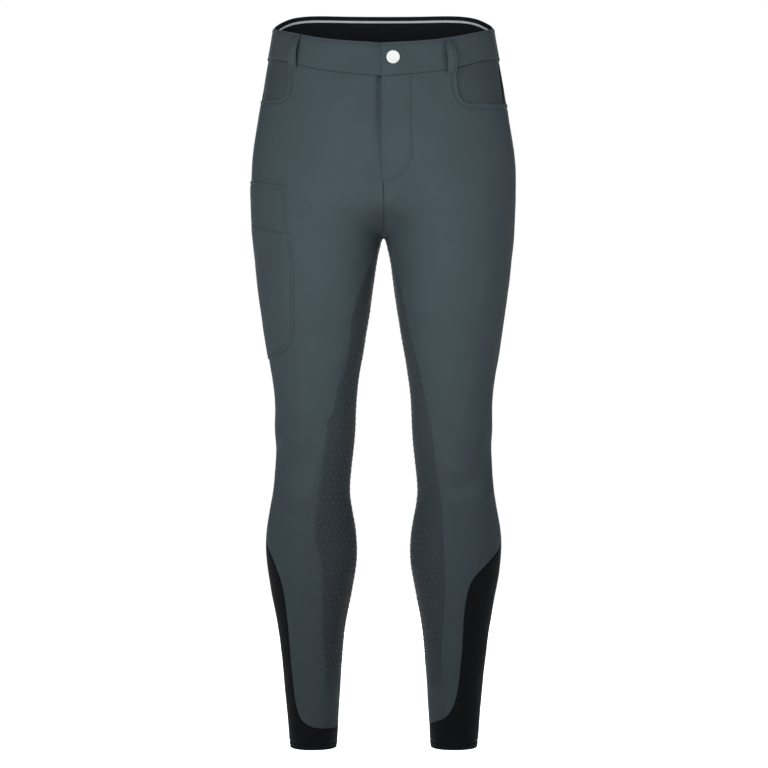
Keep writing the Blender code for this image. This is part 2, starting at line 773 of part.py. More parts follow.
def grip_pieces(side, hand, collection):
    """Two pieces: from the middle back round the seat and thigh, and on down to the cuff."""
    rear = [(share - 1, height) for share, height in grip_back(side)]
    front_high, front_low = split_line(grip_front(side), GRIP_JOIN)
    back_high, back_low = split_line(rear, GRIP_JOIN)
    across = level_line(front_low[0][0], back_low[0][0], GRIP_JOIN)
    seat = front_high[:-1] + across + back_high[:-1][::-1]
    seat += [(0.0, height) for height in stations(SEAT_TOP, CROTCH_HEIGHT, True)[1:-1]]
    cuff_line = cuff_edge(side, CUFF_AT_BACK[side], None)[:-1]
    leg = front_low[:-1] + cuff_edge(side, 0, CUFF_AT_GRIP)[::-1]
    leg += [(share - 1, height) for share, height in cuff_line[::-1]]
    leg += back_low[:-1][::-1] + across[1:-1][::-1]
    for name, outline in (("seat_grip_" + hand, seat), ("leg_grip_" + hand, leg)):
        cloth_piece(name, side, outline, "grip_cloth", collection, round_leg=True)


def cuff(name, side, collection):
    """Black stretch tube with a tongue up the outer calf, sewn shut along the inseam."""
    outline = cuff_edge(side, 0, None)
    outline += [(1.0, height) for height in stations(outline[-1][1], HEM_HEIGHT)[1:-1]]
    count = math.ceil(FLAT_GIRTH / COLUMN)
    outline += [(1 - k / count, HEM_HEIGHT) for k in range(count + 1)]
    outline += [(0.0, height) for height in stations(outline[0][1], HEM_HEIGHT)[1:-1][::-1]]
    cloth_piece(name, side, outline, "black_stretch", collection, round_leg=True)


def pocket_facing(name, side, collection):
    """Cloth that shows inside a hand pocket and reaches under the front round its mouth."""
    edge = mouth_edge(side, FACING_SHARE[side], FACING_MARGIN)
    mouth = mouth_edge(side, MOUTH_SHARE[side])
    outline = edge + side_seam(side, waist_height(WAIST_SEAM, 0.5), edge[-1][1])[1:-1][::-1]
    outline += waist_seam(side, edge[0][0], 0.5)[1:][::-1]
    cloth_piece(name, side, outline, "facing_cloth", collection, lift=-WALL - SEAM_GAP,
                creases=[mouth])


def phone_lines():
    """The patch's outer edge from top to bottom, and the slanted mouth across it."""
    top = thigh_line(PHONE_TOP)
    upper = thigh_line([PHONE_TOP[-1], PHONE_MOUTH[-1]])
    lower = thigh_line([PHONE_MOUTH[-1], *PHONE_BOTTOM])
    return top + upper[1:], thigh_line(PHONE_MOUTH), lower


def phone_pocket(collection):
    """Patch on the right thigh: a top band, and the pouch below its slanted mouth."""
    upper, mouth, lower = phone_lines()
    band = upper + mouth[:-1][::-1] + side_seam(RIGHT, upper[0][1], mouth[0][1])[1:-1][::-1]
    pouch = mouth + lower[1:] + side_seam(RIGHT, mouth[0][1], lower[-1][1])[1:-1][::-1]
    for name, outline in (("phone_pocket_top", band), ("phone_pocket_pouch", pouch)):
        cloth_piece(name, RIGHT, outline, "stretch_cloth", collection, wall=PATCH_WALL,
                    lift=PATCH_WALL + SEAM_GAP)


def waistband_half(name, side, past_middle, collection, shape=no_sink):
    first = -float(from_middle(past_middle, WAIST_SEAM(0)))
    outline = waist_seam(side, first, 1.0)
    outline += band_top(side, first, 1.0)[::-1]
    cloth_piece(name, side, outline, "stretch_cloth", collection, wall=BAND_WALL,
                lift=BAND_LIFT, shape=shape, filled=False)


def waistband_lining(collection):
    """Black lining of the back half of the waistband, from side to side."""
    top = band_top(LEFT, LINING_SHARE, 2 - LINING_SHARE)
    bottom = [(share, waist_height(WAIST_SEAM, share) + LINING_ABOVE_SEAM) for share, _ in top]
    outline = bottom + top[::-1]
    cloth_piece("waistband_lining", LEFT, outline, "black_lining", collection,
                wall=LINING_WALL, lift=BAND_LIFT - BAND_WALL - SEAM_GAP, filled=False)


def belt_loop(name, side, share, top, bottom, collection):
    """Strap over the waistband, sewn down at both ends and raised between them."""
    half = FRONT if share < 0.5 else BACK
    reach_share = LOOP_WIDTH / 4 / float(half_length(half, (top + bottom) / 2))
    rows = 9
    heights = [bottom + (top - bottom) * k / rows for k in range(rows + 1)]
    outline = [(share + reach_share, height) for height in heights]
    outline += [(share - reach_share, height) for height in heights[::-1]]

    def arch(across, height):
        along = (height - bottom) / (top - bottom)
        return LOOP_ARCH * np.sin(math.pi * np.clip(along, 0, 1)) ** 1.5

    cloth_piece(name, side, outline, "stretch_cloth", collection,
                lift=BAND_LIFT + LAYER_GAP + WALL, shape=arch, trim=0.0)


def waist_button(collection):
    """Flat round button on the lap of the waistband, facing straight out of it."""
    places = on_form(LEFT, [BUTTON_SHARE], [BUTTON_HEIGHT], [BAND_LIFT + SEAM_GAP])
    further = on_form(LEFT, [BUTTON_SHARE], [BUTTON_HEIGHT], [BAND_LIFT + SEAM_GAP + 1])
    foot, direction = Vector(places[0]), Vector(further[0] - places[0])
    disc = bmesh.new()
    bmesh.ops.create_cone(disc, cap_ends=True, segments=40, radius1=BUTTON_RADIUS,
                          radius2=BUTTON_RADIUS, depth=BUTTON_THICKNESS)
    mesh = bpy.data.meshes.new("waist_button")
    disc.to_mesh(mesh)
    disc.free()
    mesh.shade_smooth()
    mesh.set_sharp_from_angle(angle=math.radians(40))
    button = add_object("waist_button", mesh, "white_gloss", collection)
    rounding = button.modifiers.new("Rounded edge", "BEVEL")
    rounding.width = BUTTON_EDGE
    rounding.segments = 3
    rounding.limit_method = "ANGLE"
    button.location = foot + direction.normalized() * BUTTON_THICKNESS / 2
    button.rotation_euler = direction.to_track_quat("Z", "Y").to_euler()


def build():
    clear_scene()
    parts = bpy.data.collections.new("riding_breeches")
    bpy.context.scene.collection.children.link(parts)
    under_front = lap_sink(WALL + LAYER_GAP, FLY_BOTTOM)
    under_band = lap_sink(BAND_WALL + LAYER_GAP)
    upper, mouth, lower = phone_lines()
    front_creases = {LEFT: [fly_line(LAP_UNDER_PAST_MIDDLE)],
                     RIGHT: [fly_line(LAP_FLAT), upper + lower[1:], mouth]}
    front_panel("front_left", LEFT, LAP_TOP_PAST_MIDDLE, front_creases[LEFT], parts)
    front_panel("front_right", RIGHT, LAP_UNDER_PAST_MIDDLE, front_creases[RIGHT], parts,
                under_front)
    waistband_half("waistband_left", LEFT, BAND_TOP_PAST_MIDDLE, parts)
    waistband_half("waistband_right", RIGHT, BAND_UNDER_PAST_MIDDLE, parts, under_band)
    for side, hand in ((LEFT, "left"), (RIGHT, "right")):
        back_pieces(side, hand, parts)
        grip_pieces(side, hand, parts)
        cuff("cuff_" + hand, side, parts)
        pocket_facing("pocket_facing_" + hand, side, parts)
    phone_pocket(parts)
    waistband_lining(parts)
    for name, side, share, top, bottom in BELT_LOOPS:
        belt_loop(name, side, share, top, bottom, parts)
    waist_button(parts)


build()
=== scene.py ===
import math

import bpy
import numpy as np
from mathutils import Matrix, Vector, kdtree
from mathutils.geometry import delaunay_2d_cdt


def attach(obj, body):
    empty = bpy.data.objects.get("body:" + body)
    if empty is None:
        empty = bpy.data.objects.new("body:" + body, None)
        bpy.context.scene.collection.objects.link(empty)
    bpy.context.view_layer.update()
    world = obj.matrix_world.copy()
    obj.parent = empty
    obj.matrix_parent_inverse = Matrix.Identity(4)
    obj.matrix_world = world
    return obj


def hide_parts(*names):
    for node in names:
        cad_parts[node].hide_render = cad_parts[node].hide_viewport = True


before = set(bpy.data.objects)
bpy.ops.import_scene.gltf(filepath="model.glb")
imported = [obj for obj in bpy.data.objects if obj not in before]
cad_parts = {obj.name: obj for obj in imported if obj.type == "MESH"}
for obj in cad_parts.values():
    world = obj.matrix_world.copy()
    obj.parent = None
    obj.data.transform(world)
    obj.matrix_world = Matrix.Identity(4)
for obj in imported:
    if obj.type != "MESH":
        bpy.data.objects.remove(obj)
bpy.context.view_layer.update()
left, right = 1, -1  # the wearer's left is +X
hands = ((left, "Left"), (right, "Right"))
front, back = 0, 1
print("frame loaded:", len(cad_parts), "nodes")

# The form under the cloth: an oval for each leg, run together at the crotch, and the torso above.
# A place on it is (side, share, height). The share is 0 at the middle front or the inseam,
# 0.5 at the side seam and 1 at the middle back or the inseam again.
bodyForm = {
    "legRows": (
        # height, middle x, half width, front y, back y, squareness
        (-0.110, 0.0660, 0.1040, -0.117, 0.128, 2.25),
        (-0.150, 0.0700, 0.1080, -0.118, 0.134, 2.25),
        (-0.190, 0.0755, 0.1060, -0.117, 0.138, 2.20),
        (-0.225, 0.0810, 0.1015, -0.114, 0.137, 2.20),
        (-0.260, 0.0880, 0.0940, -0.109, 0.128, 2.15),
        (-0.289, 0.0910, 0.0890, -0.103, 0.112, 2.10),
        (-0.320, 0.0925, 0.0840, -0.098, 0.098, 2.10),
        (-0.360, 0.0933, 0.0788, -0.095, 0.088, 2.10),
        (-0.400, 0.0933, 0.0731, -0.091, 0.078, 2.10),
        (-0.450, 0.0936, 0.0652, -0.085, 0.067, 2.10),
        (-0.500, 0.0935, 0.0573, -0.078, 0.058, 2.10),
        (-0.540, 0.0932, 0.0550, -0.073, 0.052, 2.15),
        (-0.590, 0.0955, 0.0531, -0.068, 0.048, 2.15),
        (-0.640, 0.0995, 0.0532, -0.060, 0.055, 2.10),
        (-0.690, 0.1000, 0.0612, -0.053, 0.069, 2.10),
        (-0.730, 0.0996, 0.0627, -0.050, 0.075, 2.10),
        (-0.780, 0.0997, 0.0552, -0.047, 0.071, 2.10),
        (-0.830, 0.0996, 0.0462, -0.043, 0.061, 2.10),
        (-0.880, 0.0987, 0.0409, -0.040, 0.053, 2.10),
        (-0.930, 0.0978, 0.0367, -0.037, 0.048, 2.10),
        (-0.9915, 0.0970, 0.0324, -0.035, 0.045, 2.10),
    ),
    "torsoRows": (
        # height, half width, front y, back y, front squareness, back squareness
        (0.050, 0.1480, -0.104, 0.102, 2.25, 2.50),
        (0.000, 0.1518, -0.107, 0.104, 2.25, 2.50),
        (-0.040, 0.1584, -0.111, 0.110, 2.25, 2.50),
        (-0.080, 0.1654, -0.115, 0.119, 2.25, 2.45),
        (-0.120, 0.1722, -0.117, 0.128, 2.25, 2.40),
        (-0.160, 0.1786, -0.118, 0.135, 2.25, 2.35),
        (-0.200, 0.1826, -0.117, 0.138, 2.25, 2.30),
        (-0.240, 0.1828, -0.113, 0.136, 2.25, 2.30),
        (-0.289, 0.1805, -0.104, 0.120, 2.20, 2.20),
    ),
    "torsoMiddleY": 0.004,
    "torsoBlend": (-0.290, -0.170),
    "middleDrop": 0.070,  # the torso reaches this much lower at the middle, over the width below
    "middleWidth": 0.060,
    "filletLow": 0.008,
    "filletHigh": 0.078,
    "filletBlend": (-0.300, -0.180),
    "hem": -0.9915,
    "top": 0.050,
    "levelStep": 0.004,
    "ringPoints": 121,
    "halvings": 26,
    "farthest": (0.20, 0.26),  # no ray runs farther, along the depth and round the leg
    "crotchBetween": (-0.32, -0.26),
    "crotchDepths": (-0.04, 0.04, 161),
    "crotchHalvings": 30,
    "probe": 0.0004,
}


def spline(rows, column):
    # natural cubic through one column of a table, against its first column
    table = np.array(sorted(rows))
    knots, values = table[:, 0], table[:, column]
    gap = np.diff(knots)
    count = len(knots)
    system, target = np.eye(count), np.zeros(count)
    for i in range(1, count - 1):
        system[i, i - 1:i + 2] = gap[i - 1], 2 * (gap[i - 1] + gap[i]), gap[i]
        rise = (values[i + 1] - values[i]) / gap[i] - (values[i] - values[i - 1]) / gap[i - 1]
        target[i] = 6 * rise
    bend = np.linalg.solve(system, target)

    def at(place):
        place = np.clip(place, knots[0], knots[-1])
        i = np.clip(np.searchsorted(knots, place) - 1, 0, count - 2)
        a = (knots[i + 1] - place) / gap[i]
        b = (place - knots[i]) / gap[i]
        cubic = (a ** 3 - a) * bend[i] + (b ** 3 - b) * bend[i + 1]
        return a * values[i] + b * values[i + 1] + cubic * gap[i] ** 2 / 6

    return at


legLines = [spline(bodyForm["legRows"], column) for column in range(1, 6)]
torsoLines = [spline(bodyForm["torsoRows"], column) for column in range(1, 6)]


def smoothStep(low, high, value):
    t = np.clip((value - low) / (high - low), 0, 1)
    return t * t * (3 - 2 * t)


def oval(dx, dy, halfWidth, frontDepth, backDepth, powers):
    depth = np.where(dy < 0, frontDepth, backDepth)
    power = np.where(dy < 0, powers[0], powers[1])
    ratio = (np.abs(dx / halfWidth) ** power + np.abs(dy / depth) ** power) ** (1 / power)
    return (ratio - 1) * (halfWidth + depth) / 2


def outside(x, y, height):
    # below zero inside the form, zero on it, above zero outside
    middleX, halfWidth, frontY, backY, power = [line(height) for line in legLines]
    middleY, depth = (frontY + backY) / 2, (backY - frontY) / 2
    leftLeg = oval(x - middleX, y - middleY, halfWidth, depth, depth, (power, power))
    rightLeg = oval(x + middleX, y - middleY, halfWidth, depth, depth, (power, power))
    blend = smoothStep(*bodyForm["filletBlend"], height)
    fillet = bodyForm["filletLow"] + (bodyForm["filletHigh"] - bodyForm["filletLow"]) * blend
    shared = np.maximum(fillet - np.abs(leftLeg - rightLeg), 0) / fillet
    legs = np.minimum(leftLeg, rightLeg) - shared ** 2 * fillet / 4
    halfWidth, frontY, backY, frontPower, backPower = [line(height) for line in torsoLines]
    middleY = bodyForm["torsoMiddleY"]
    powers = (frontPower, backPower)
    torso = oval(x, y - middleY, halfWidth, middleY - frontY, backY - middleY, powers)
    low, high = bodyForm["torsoBlend"]
    high = high - bodyForm["middleDrop"] * np.exp(-(x / bodyForm["middleWidth"]) ** 2)
    blend = smoothStep(low, high, height)
    return (1 - blend) * legs + blend * torso


def reach(x, y, dx, dy, height, far):
    # how far a ray from inside the form runs before it leaves it
    near = np.zeros_like(far)
    for _ in range(bodyForm["halvings"]):
        middle = (near + far) / 2
        inside = outside(x + dx * middle, y + dy * middle, height) < 0
        near, far = np.where(inside, middle, near), np.where(inside, far, middle)
    return (near + far) / 2


def findCrotch():
    y = np.linspace(*bodyForm["crotchDepths"])
    low, high = bodyForm["crotchBetween"]
    for _ in range(bodyForm["crotchHalvings"]):
        middle = (low + high) / 2
        if outside(0 * y, y, np.full_like(y, middle)).min() < 0:
            high = middle
        else:
            low = middle
    return middle, y[np.argmin(outside(0 * y, y, np.full_like(y, middle)))]


crotchHeight, crotchY = findCrotch()


def levelOf(height):
    # square root of the distance from the crotch, in which the rings change evenly
    rise = np.asarray(height, float) - crotchHeight
    return np.sign(rise) * np.sqrt(np.abs(rise))


def halfRing(direction, heights):
    # evenly spaced points from the side to the middle front (-1) or the middle back (+1)
    middleX, _, frontY, backY, _ = [line(heights) for line in legLines]
    middleY = (frontY + backY) / 2
    flat = np.zeros_like(heights)
    deep, wide = bodyForm["farthest"]
    meet = reach(flat, flat + crotchY, flat, flat + direction, heights, flat + deep)
    end = np.arctan2(crotchY + direction * meet - middleY, -middleX)
    end = np.where(direction * end < 0, end + direction * 2 * math.pi, end)
    end = np.where(heights > crotchHeight, end, direction * math.pi)
    angle = end[:, None] * np.linspace(0, 1, 2 * bodyForm["ringPoints"])
    dx, dy = np.cos(angle), np.sin(angle)
    toMiddlePlane = np.where(dx < -1e-6, middleX[:, None] / np.maximum(-dx, 1e-6), 1.0)
    heights = np.repeat(heights[:, None], angle.shape[1], 1)
    run = reach(middleX[:, None], middleY[:, None], dx, dy, heights, np.minimum(toMiddlePlane, wide))
    points = np.stack([middleX[:, None] + dx * run, middleY[:, None] + dy * run], -1)
    steps = np.linalg.norm(np.diff(points, axis=1), axis=2)
    walked = np.concatenate([np.zeros((len(points), 1)), np.cumsum(steps, 1)], 1)
    shares = np.linspace(0, 1, bodyForm["ringPoints"])
    even = [[np.interp(shares * way[-1], way, ring[:, axis]) for axis in (0, 1)]
            for way, ring in zip(walked, points)]
    return np.array(even).transpose(0, 2, 1), walked[:, -1]


levels = np.arange(levelOf(bodyForm["hem"]), levelOf(bodyForm["top"]) + bodyForm["levelStep"],
                   bodyForm["levelStep"])
levelHeights = np.sign(levels) * levels ** 2 + crotchHeight
frontRings, frontLengths = halfRing(-1, levelHeights)
backRings, backLengths = halfRing(1, levelHeights)
rings = np.concatenate([frontRings[:, ::-1], backRings[:, 1:]], 1)
print("form measured:", rings.shape[0], "rings")


def halfLength(half, height):
    return np.interp(levelOf(height), levels, frontLengths if half == front else backLengths)


def ringPoint(share, height):
    level = (levelOf(height) - levels[0]) / bodyForm["levelStep"]
    row = np.clip(level.astype(int), 0, len(levels) - 2)
    up = np.clip(level - row, 0, 1)[:, None]
    place = np.clip(share, 0, 1) * (rings.shape[1] - 1)
    column = np.clip(place.astype(int), 0, rings.shape[1] - 2)
    along = (place - column)[:, None]
    low = (1 - along) * rings[row, column] + along * rings[row, column + 1]
    high = (1 - along) * rings[row + 1, column] + along * rings[row + 1, column + 1]
    return (1 - up) * low + up * high


def onForm(side, share, height, roundLeg):
    # points on the form and the directions straight out of it
    share, height = np.asarray(share, float), np.asarray(height, float)
    if roundLeg:
        hand = np.full_like(share, side)
        share = np.where(share < 0, share + 1, share)
    else:
        hand = np.where((share < 0) | (share > 1), -side, side)
        share = np.where(share < 0, -share, np.where(share > 1, 2 - share, share))
    flat = ringPoint(share, height)
    points = np.stack([flat[:, 0] * hand, flat[:, 1], height], 1)
    probe, slope = bodyForm["probe"], np.zeros_like(points)
    for axis in range(3):
        step = np.zeros(3)
        step[axis] = probe
        slope[:, axis] = (outside(*(points + step).T) - outside(*(points - step).T)) / 2 / probe
    steep = (slope * slope).sum(1)
    points -= (outside(*points.T) / steep)[:, None] * slope
    return points, slope / np.sqrt(steep)[:, None]


# Folds of the cloth, each a soft trough between two places with a low lip along both sides.
folds = {
    "rows": (
        # side, start share, start height, end share, end height, bow, width, depth
        (left, 0.020, -0.262, 0.150, -0.222, 0.006, 0.0070, 0.0004),
        (left, 0.030, -0.282, 0.190, -0.262, 0.008, 0.0080, 0.0004),
        (right, 0.020, -0.256, 0.140, -0.226, 0.006, 0.0070, 0.0004),
        (right, 0.035, -0.280, 0.170, -0.268, 0.007, 0.0080, 0.0004),
        (left, 0.150, -0.628, 0.400, -0.616, -0.008, 0.0130, 0.0021),
        (left, 0.250, -0.600, 0.490, -0.606, 0.006, 0.0270, 0.0056),
        (right, 0.220, -0.606, 0.490, -0.612, 0.008, 0.0290, 0.0064),
        (right, 0.220, -0.548, 0.470, -0.538, -0.006, 0.0120, 0.0018),
        (right, 0.240, -0.676, 0.440, -0.668, 0.006, 0.0120, 0.0016),
        (left, 0.640, -0.560, 0.930, -0.548, 0.007, 0.0065, 0.0019),
        (left, 0.600, -0.590, 0.900, -0.583, -0.006, 0.0060, 0.0017),
        (left, 0.680, -0.622, 0.960, -0.612, 0.005, 0.0070, 0.0013),
        (right, 0.620, -0.566, 0.950, -0.552, 0.006, 0.0065, 0.0018),
        (right, 0.650, -0.596, 0.900, -0.590, -0.007, 0.0060, 0.0018),
        (right, 0.610, -0.626, 0.880, -0.618, 0.005, 0.0070, 0.0012),
        (left, 0.620, -0.312, 0.930, -0.300, 0.012, 0.0090, 0.0022),
        (left, 0.700, -0.336, 0.900, -0.328, 0.008, 0.0080, 0.0012),
        (right, 0.630, -0.308, 0.940, -0.298, 0.012, 0.0090, 0.0021),
        (right, 0.690, -0.333, 0.880, -0.330, 0.009, 0.0080, 0.0013),
        (left, 0.540, -0.080, 0.700, -0.066, 0.004, 0.0075, 0.0008),
        (right, 0.550, -0.078, 0.690, -0.062, 0.004, 0.0075, 0.0008),
    ),
    "lip": 0.42,  # height of the lip, and its place and width in widths of the fold
    "lipAt": 1.9,
    "lipWidth": 0.9,
    "fadeOut": 0.9,
    "curvePoints": 9,
    "reachOut": 4.0,
    "swells": ((0.085, 0.00045), (0.034, 0.00016)),  # size and height of the slight unevenness
}


# Four sines that make the slight unevenness: change along x, y and z, and start.
waves = ((6.1, 2.3, 3.7, 0.4), (0.0, 2.9, -5.2, 1.7), (-3.1, 0.0, 4.3, 2.2), (1.9, 5.6, 0.0, 0.9))


def wobble(points, size):
    # uneven waves of a given size, the same at the same place on every piece
    first, second, third, fourth = (np.sin(points @ wave[:3] / size + wave[3]) for wave in waves)
    return (first * second + third * fourth) / 2


def foldCurves():
    curves = []
    for side, share0, height0, share1, height1, bow, width, depth in folds["rows"]:
        t = np.linspace(0, 1, folds["curvePoints"])
        swing = bow * np.sin(math.pi * t)
        share, height = share0 + (share1 - share0) * t, height0 + (height1 - height0) * t + swing
        curves.append((onForm(side, share, height, height0 < crotchHeight)[0], width, depth))
    return curves


foldLines = foldCurves()


def foldLift(points):
    lift = np.zeros(len(points))
    for curve, width, depth in foldLines:
        span = folds["reachOut"] * width
        near = ((points > curve.min(0) - span) & (points < curve.max(0) + span)).all(1)
        if near.any():
            start, step = curve[:-1], np.diff(curve, axis=0)
            offset = points[near][:, None] - start
            t = np.clip((offset * step).sum(2) / (step * step).sum(1), 0, 1)
            gap = np.linalg.norm(offset - t[..., None] * step, axis=2)
            nearest = gap.argmin(1)
            rows = np.arange(len(nearest))
            along = (nearest + t[rows, nearest]) / len(step)
            across = gap[rows, nearest] / width
            lip = folds["lip"] * np.exp(-((across - folds["lipAt"]) / folds["lipWidth"]) ** 2)
            trough = np.exp(-across ** 2) - lip
            lift[near] -= depth * np.sin(math.pi * along) ** folds["fadeOut"] * trough
    for size, height in folds["swells"]:
        lift += height * wobble(points, size)
    return lift


# How the flat pieces are cut into triangles, and how their edges and stitched lines lie.
cloth = {
    "wall": 0.0015,
    "layerGap": 0.0004,
    "step": 0.0036,  # between the points along an edge
    "grid": 0.0044,  # between the points inside
    "gridRow": 0.87,  # rows of the grid, as a share of its step
    "gridClear": 0.62,  # the least way from a grid point to its neighbours, as a share of the step
    "edgeRows": (0.00035, 0.0009, 0.0017, 0.0028),
    "rowClear": 0.85,  # a row's point is left out where the outline lies nearer than this share
    "stitchRows": (-0.0015, -0.0007, 0.0, 0.0007, 0.0015),
    "stitchClear": 0.0005,
    "closest": 0.00028,
    "merge": 1e-7,  # points nearer than this become one
    "sharpest": 0.35,  # keeps offset lines short at sharp corners
    "crotchRise": 0.060,  # how far above and below the crotch, and to its sides, rows are added
    "crotchDrop": 0.012,
    "crotchReach": 0.055,
    "middleReach": 0.02,
    "roll": 0.0013,
    "rollWidth": 0.0019,
    "flushShare": 0.72,  # how much less the edges roll along a flush seam, and how near to it
    "flushWidth": 0.004,
    "trough": 0.00110,
    "troughWidth": 0.0012,
    "ridge": 0.00026,
    "ridgeAt": 0.0023,
    "ridgeWidth": 0.0011,
    "hemRamp": (-0.0008, 0.0012),
    "pucker": 0.00016,
    "puckerReach": 0.006,
    "puckerIn": 0.002,
    "puckerSize": 0.020,
    "sharpAngle": 55,
}


def turn(share, roundLeg):
    # the share within one half of the garment
    return share % 1 if roundLeg else np.where(share < 0, -share, np.where(share > 1, 2 - share, share))


def flatten(line, fromInseam=False):
    # (share, height) to metres across the cloth from the side seam or the inseam, and height
    share, height = np.asarray(line, float).T
    frontHalf, backHalf = 2 * halfLength(front, height), 2 * halfLength(back, height)
    if fromInseam:
        across = share * np.where(share < 0, backHalf, frontHalf)
    else:
        past = backHalf + (share - 1.5) * frontHalf
        across = (share - 0.5) * np.where(share < 0.5, frontHalf, backHalf)
        across = np.where(share > 1.5, past, across)
    return np.stack([across, height], 1)


def unflatten(flat, fromInseam=False):
    across, height = np.asarray(flat, float).T
    frontHalf, backHalf = 2 * halfLength(front, height), 2 * halfLength(back, height)
    if fromInseam:
        return across / np.where(across < 0, backHalf, frontHalf), height
    share = 0.5 + across / np.where(across < 0, frontHalf, backHalf)
    return np.where(across > backHalf, 1.5 + (across - backHalf) / frontHalf, share), height


def signedArea(points):
    after = np.roll(points, -1, 0)
    return np.sum(points[:, 0] * after[:, 1] - points[:, 1] * after[:, 0]) / 2


def offsetLine(line, amount, closed=False):
    # moves a line to its own left, which is inwards for an outline
    after = np.roll(line, -1, 0) - line
    if not closed:
        after[-1] = after[-2]
    after /= np.linalg.norm(after, axis=1)[:, None]
    before = np.roll(after, 1, 0)
    if not closed:
        before[0] = after[0]
    both = np.stack([-after[:, 1] - before[:, 1], after[:, 0] + before[:, 0]], 1)
    return line + both / np.maximum((both * both).sum(1) / 2, cloth["sharpest"])[:, None] * amount


def treeOf(places):
    tree = kdtree.KDTree(len(places))
    for i, place in enumerate(places):
        tree.insert(place, i)
    tree.balance()
    return tree


def lineDistance(points, line, closed=False):
    tree = treeOf([(x, y, 0) for x, y in line])
    nearest = np.array([tree.find((x, y, 0))[1] for x, y in points], int).reshape(-1)
    best = np.full(len(points), 1e9)
    for shift in (-1, 0):
        first = nearest + shift
        first = first % len(line) if closed else np.clip(first, 0, len(line) - 2)
        start, end = line[first], line[(first + 1) % len(line)]
        step, offset = end - start, points - start
        t = np.clip((offset * step).sum(1) / np.maximum((step * step).sum(1), 1e-12), 0, 1)
        best = np.minimum(best, np.linalg.norm(offset - t[:, None] * step, axis=1))
    return best


def insideOutline(points, outline):
    start, end = outline, np.roll(outline, -1, 0)
    rise = np.where(end[:, 1] == start[:, 1], 1, end[:, 1] - start[:, 1])
    slope = (end[:, 0] - start[:, 0]) / rise
    found = []
    for some in np.array_split(points, max(1, len(points) // 2500)):
        level = some[:, 1:]
        straddles = (start[:, 1] > level) != (end[:, 1] > level)
        found.append((straddles & (some[:, :1] < start[:, 0] + (level - start[:, 1]) * slope)).sum(1))
    return np.concatenate(found) % 2 == 1


def spread(points, gap, cells):
    # keeps points that are at least a gap from those kept before
    kept = []
    for x, y in points:
        column, row = math.floor(x / gap), math.floor(y / gap)
        close = (other for i in (-1, 0, 1) for j in (-1, 0, 1)
                 for other in cells.get((column + i, row + j), ()))
        if all((x - ox) ** 2 + (y - oy) ** 2 >= gap * gap for ox, oy in close):
            cells.setdefault((column, row), []).append((x, y))
            kept.append((x, y))
    return kept


def walk(line):
    # the way walked along a line to each of its points
    return np.concatenate([[0], np.cumsum(np.linalg.norm(np.diff(line, axis=0), axis=1))])


def middleHeights(half, high, low):
    # heights down the middle line or the inseam, evenly spaced along the cloth
    ends = rings[:, 0 if half == front else -1]
    walked = walk(np.column_stack([ends, levelHeights]))
    top, bottom = np.interp([high, low], levelHeights, walked)
    count = max(1, math.ceil((top - bottom) / cloth["step"]))
    return np.interp(np.linspace(top, bottom, count + 1), walked, levelHeights)


def staggered(low, high, gap):
    # a grid of points in which every other row is moved by half a gap
    rows = []
    for index, height in enumerate(np.arange(low[1], high[1], gap * cloth["gridRow"])):
        xs = np.arange(low[0] + gap * (index % 2) / 2, high[0], gap)
        rows.append(np.column_stack([xs, np.full_like(xs, height)]))
    return np.concatenate(rows)


def innerPoints(outline, near, fromInseam, roundLeg):
    # a staggered grid inside the outline, with extra rows where the cloth turns level at the crotch
    low, high = outline.min(0), outline.max(0)
    grid, clear = cloth["grid"], cloth["grid"] * cloth["gridClear"]
    points = staggered(low + (0, grid / 2), high, grid)
    points = points[insideOutline(points, outline)]
    if low[1] < crotchHeight < high[1]:
        rows = []
        heights = middleHeights(front, crotchHeight + cloth["crotchRise"],
                                crotchHeight - cloth["crotchDrop"])
        for height in heights:
            middle = flatten([(0.0, height), (1.0, height)], fromInseam)[:, 0]
            oneMiddle = fromInseam or not roundLeg and low[0] < middle[0] + cloth["middleReach"]
            for place in middle[:1] if oneMiddle else middle:
                xs = np.arange(place - cloth["crotchReach"], place + cloth["crotchReach"], grid)
                rows.append(np.column_stack([xs, np.full_like(xs, height)]))
        rows = np.concatenate(rows)
        rows = rows[insideOutline(rows, outline)]
        spots = [ringPoint(turn(share, roundLeg), height) for share, height in
                 (unflatten(group, fromInseam) for group in (points, rows))]
        tree = treeOf([(*spot, height) for spot, height in zip(spots[0], points[:, 1])])
        far = [tree.find((*spot, height))[2] > clear for spot, height in zip(spots[1], rows[:, 1])]
        points = np.concatenate([points, rows[far]])
    tree = treeOf([(x, y, 0) for x, y in near])
    return points[[tree.find((x, y, 0))[2] > clear for x, y in points]]


def noShape(share, height):
    return np.zeros_like(share)


def clothPoints(piece, share, height, out):
    # points on the outer face of a piece, moved out by a further amount
    points, normals = onForm(piece["side"], share, height, piece["roundLeg"])
    rise = piece["lift"] + piece["shape"](share, height) + foldLift(points) + out
    return points + normals * rise[:, None], normals


def meshObject(name, points, faces, flat=None):
    mesh = bpy.data.meshes.new(name)
    mesh.from_pydata(points.tolist(), [], faces)
    if flat is not None:
        corners = np.zeros(len(mesh.loops), int)
        mesh.loops.foreach_get("vertex_index", corners)
        layer = mesh.uv_layers.new(name="cloth")
        layer.uv.foreach_set("vector", flat[corners].ravel())
    mesh.shade_smooth()
    mesh.set_sharp_from_angle(angle=math.radians(cloth["sharpAngle"]))
    made = bpy.data.objects.new(name, mesh)
    bpy.context.scene.collection.objects.link(made)
    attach(made, "root")
    return made


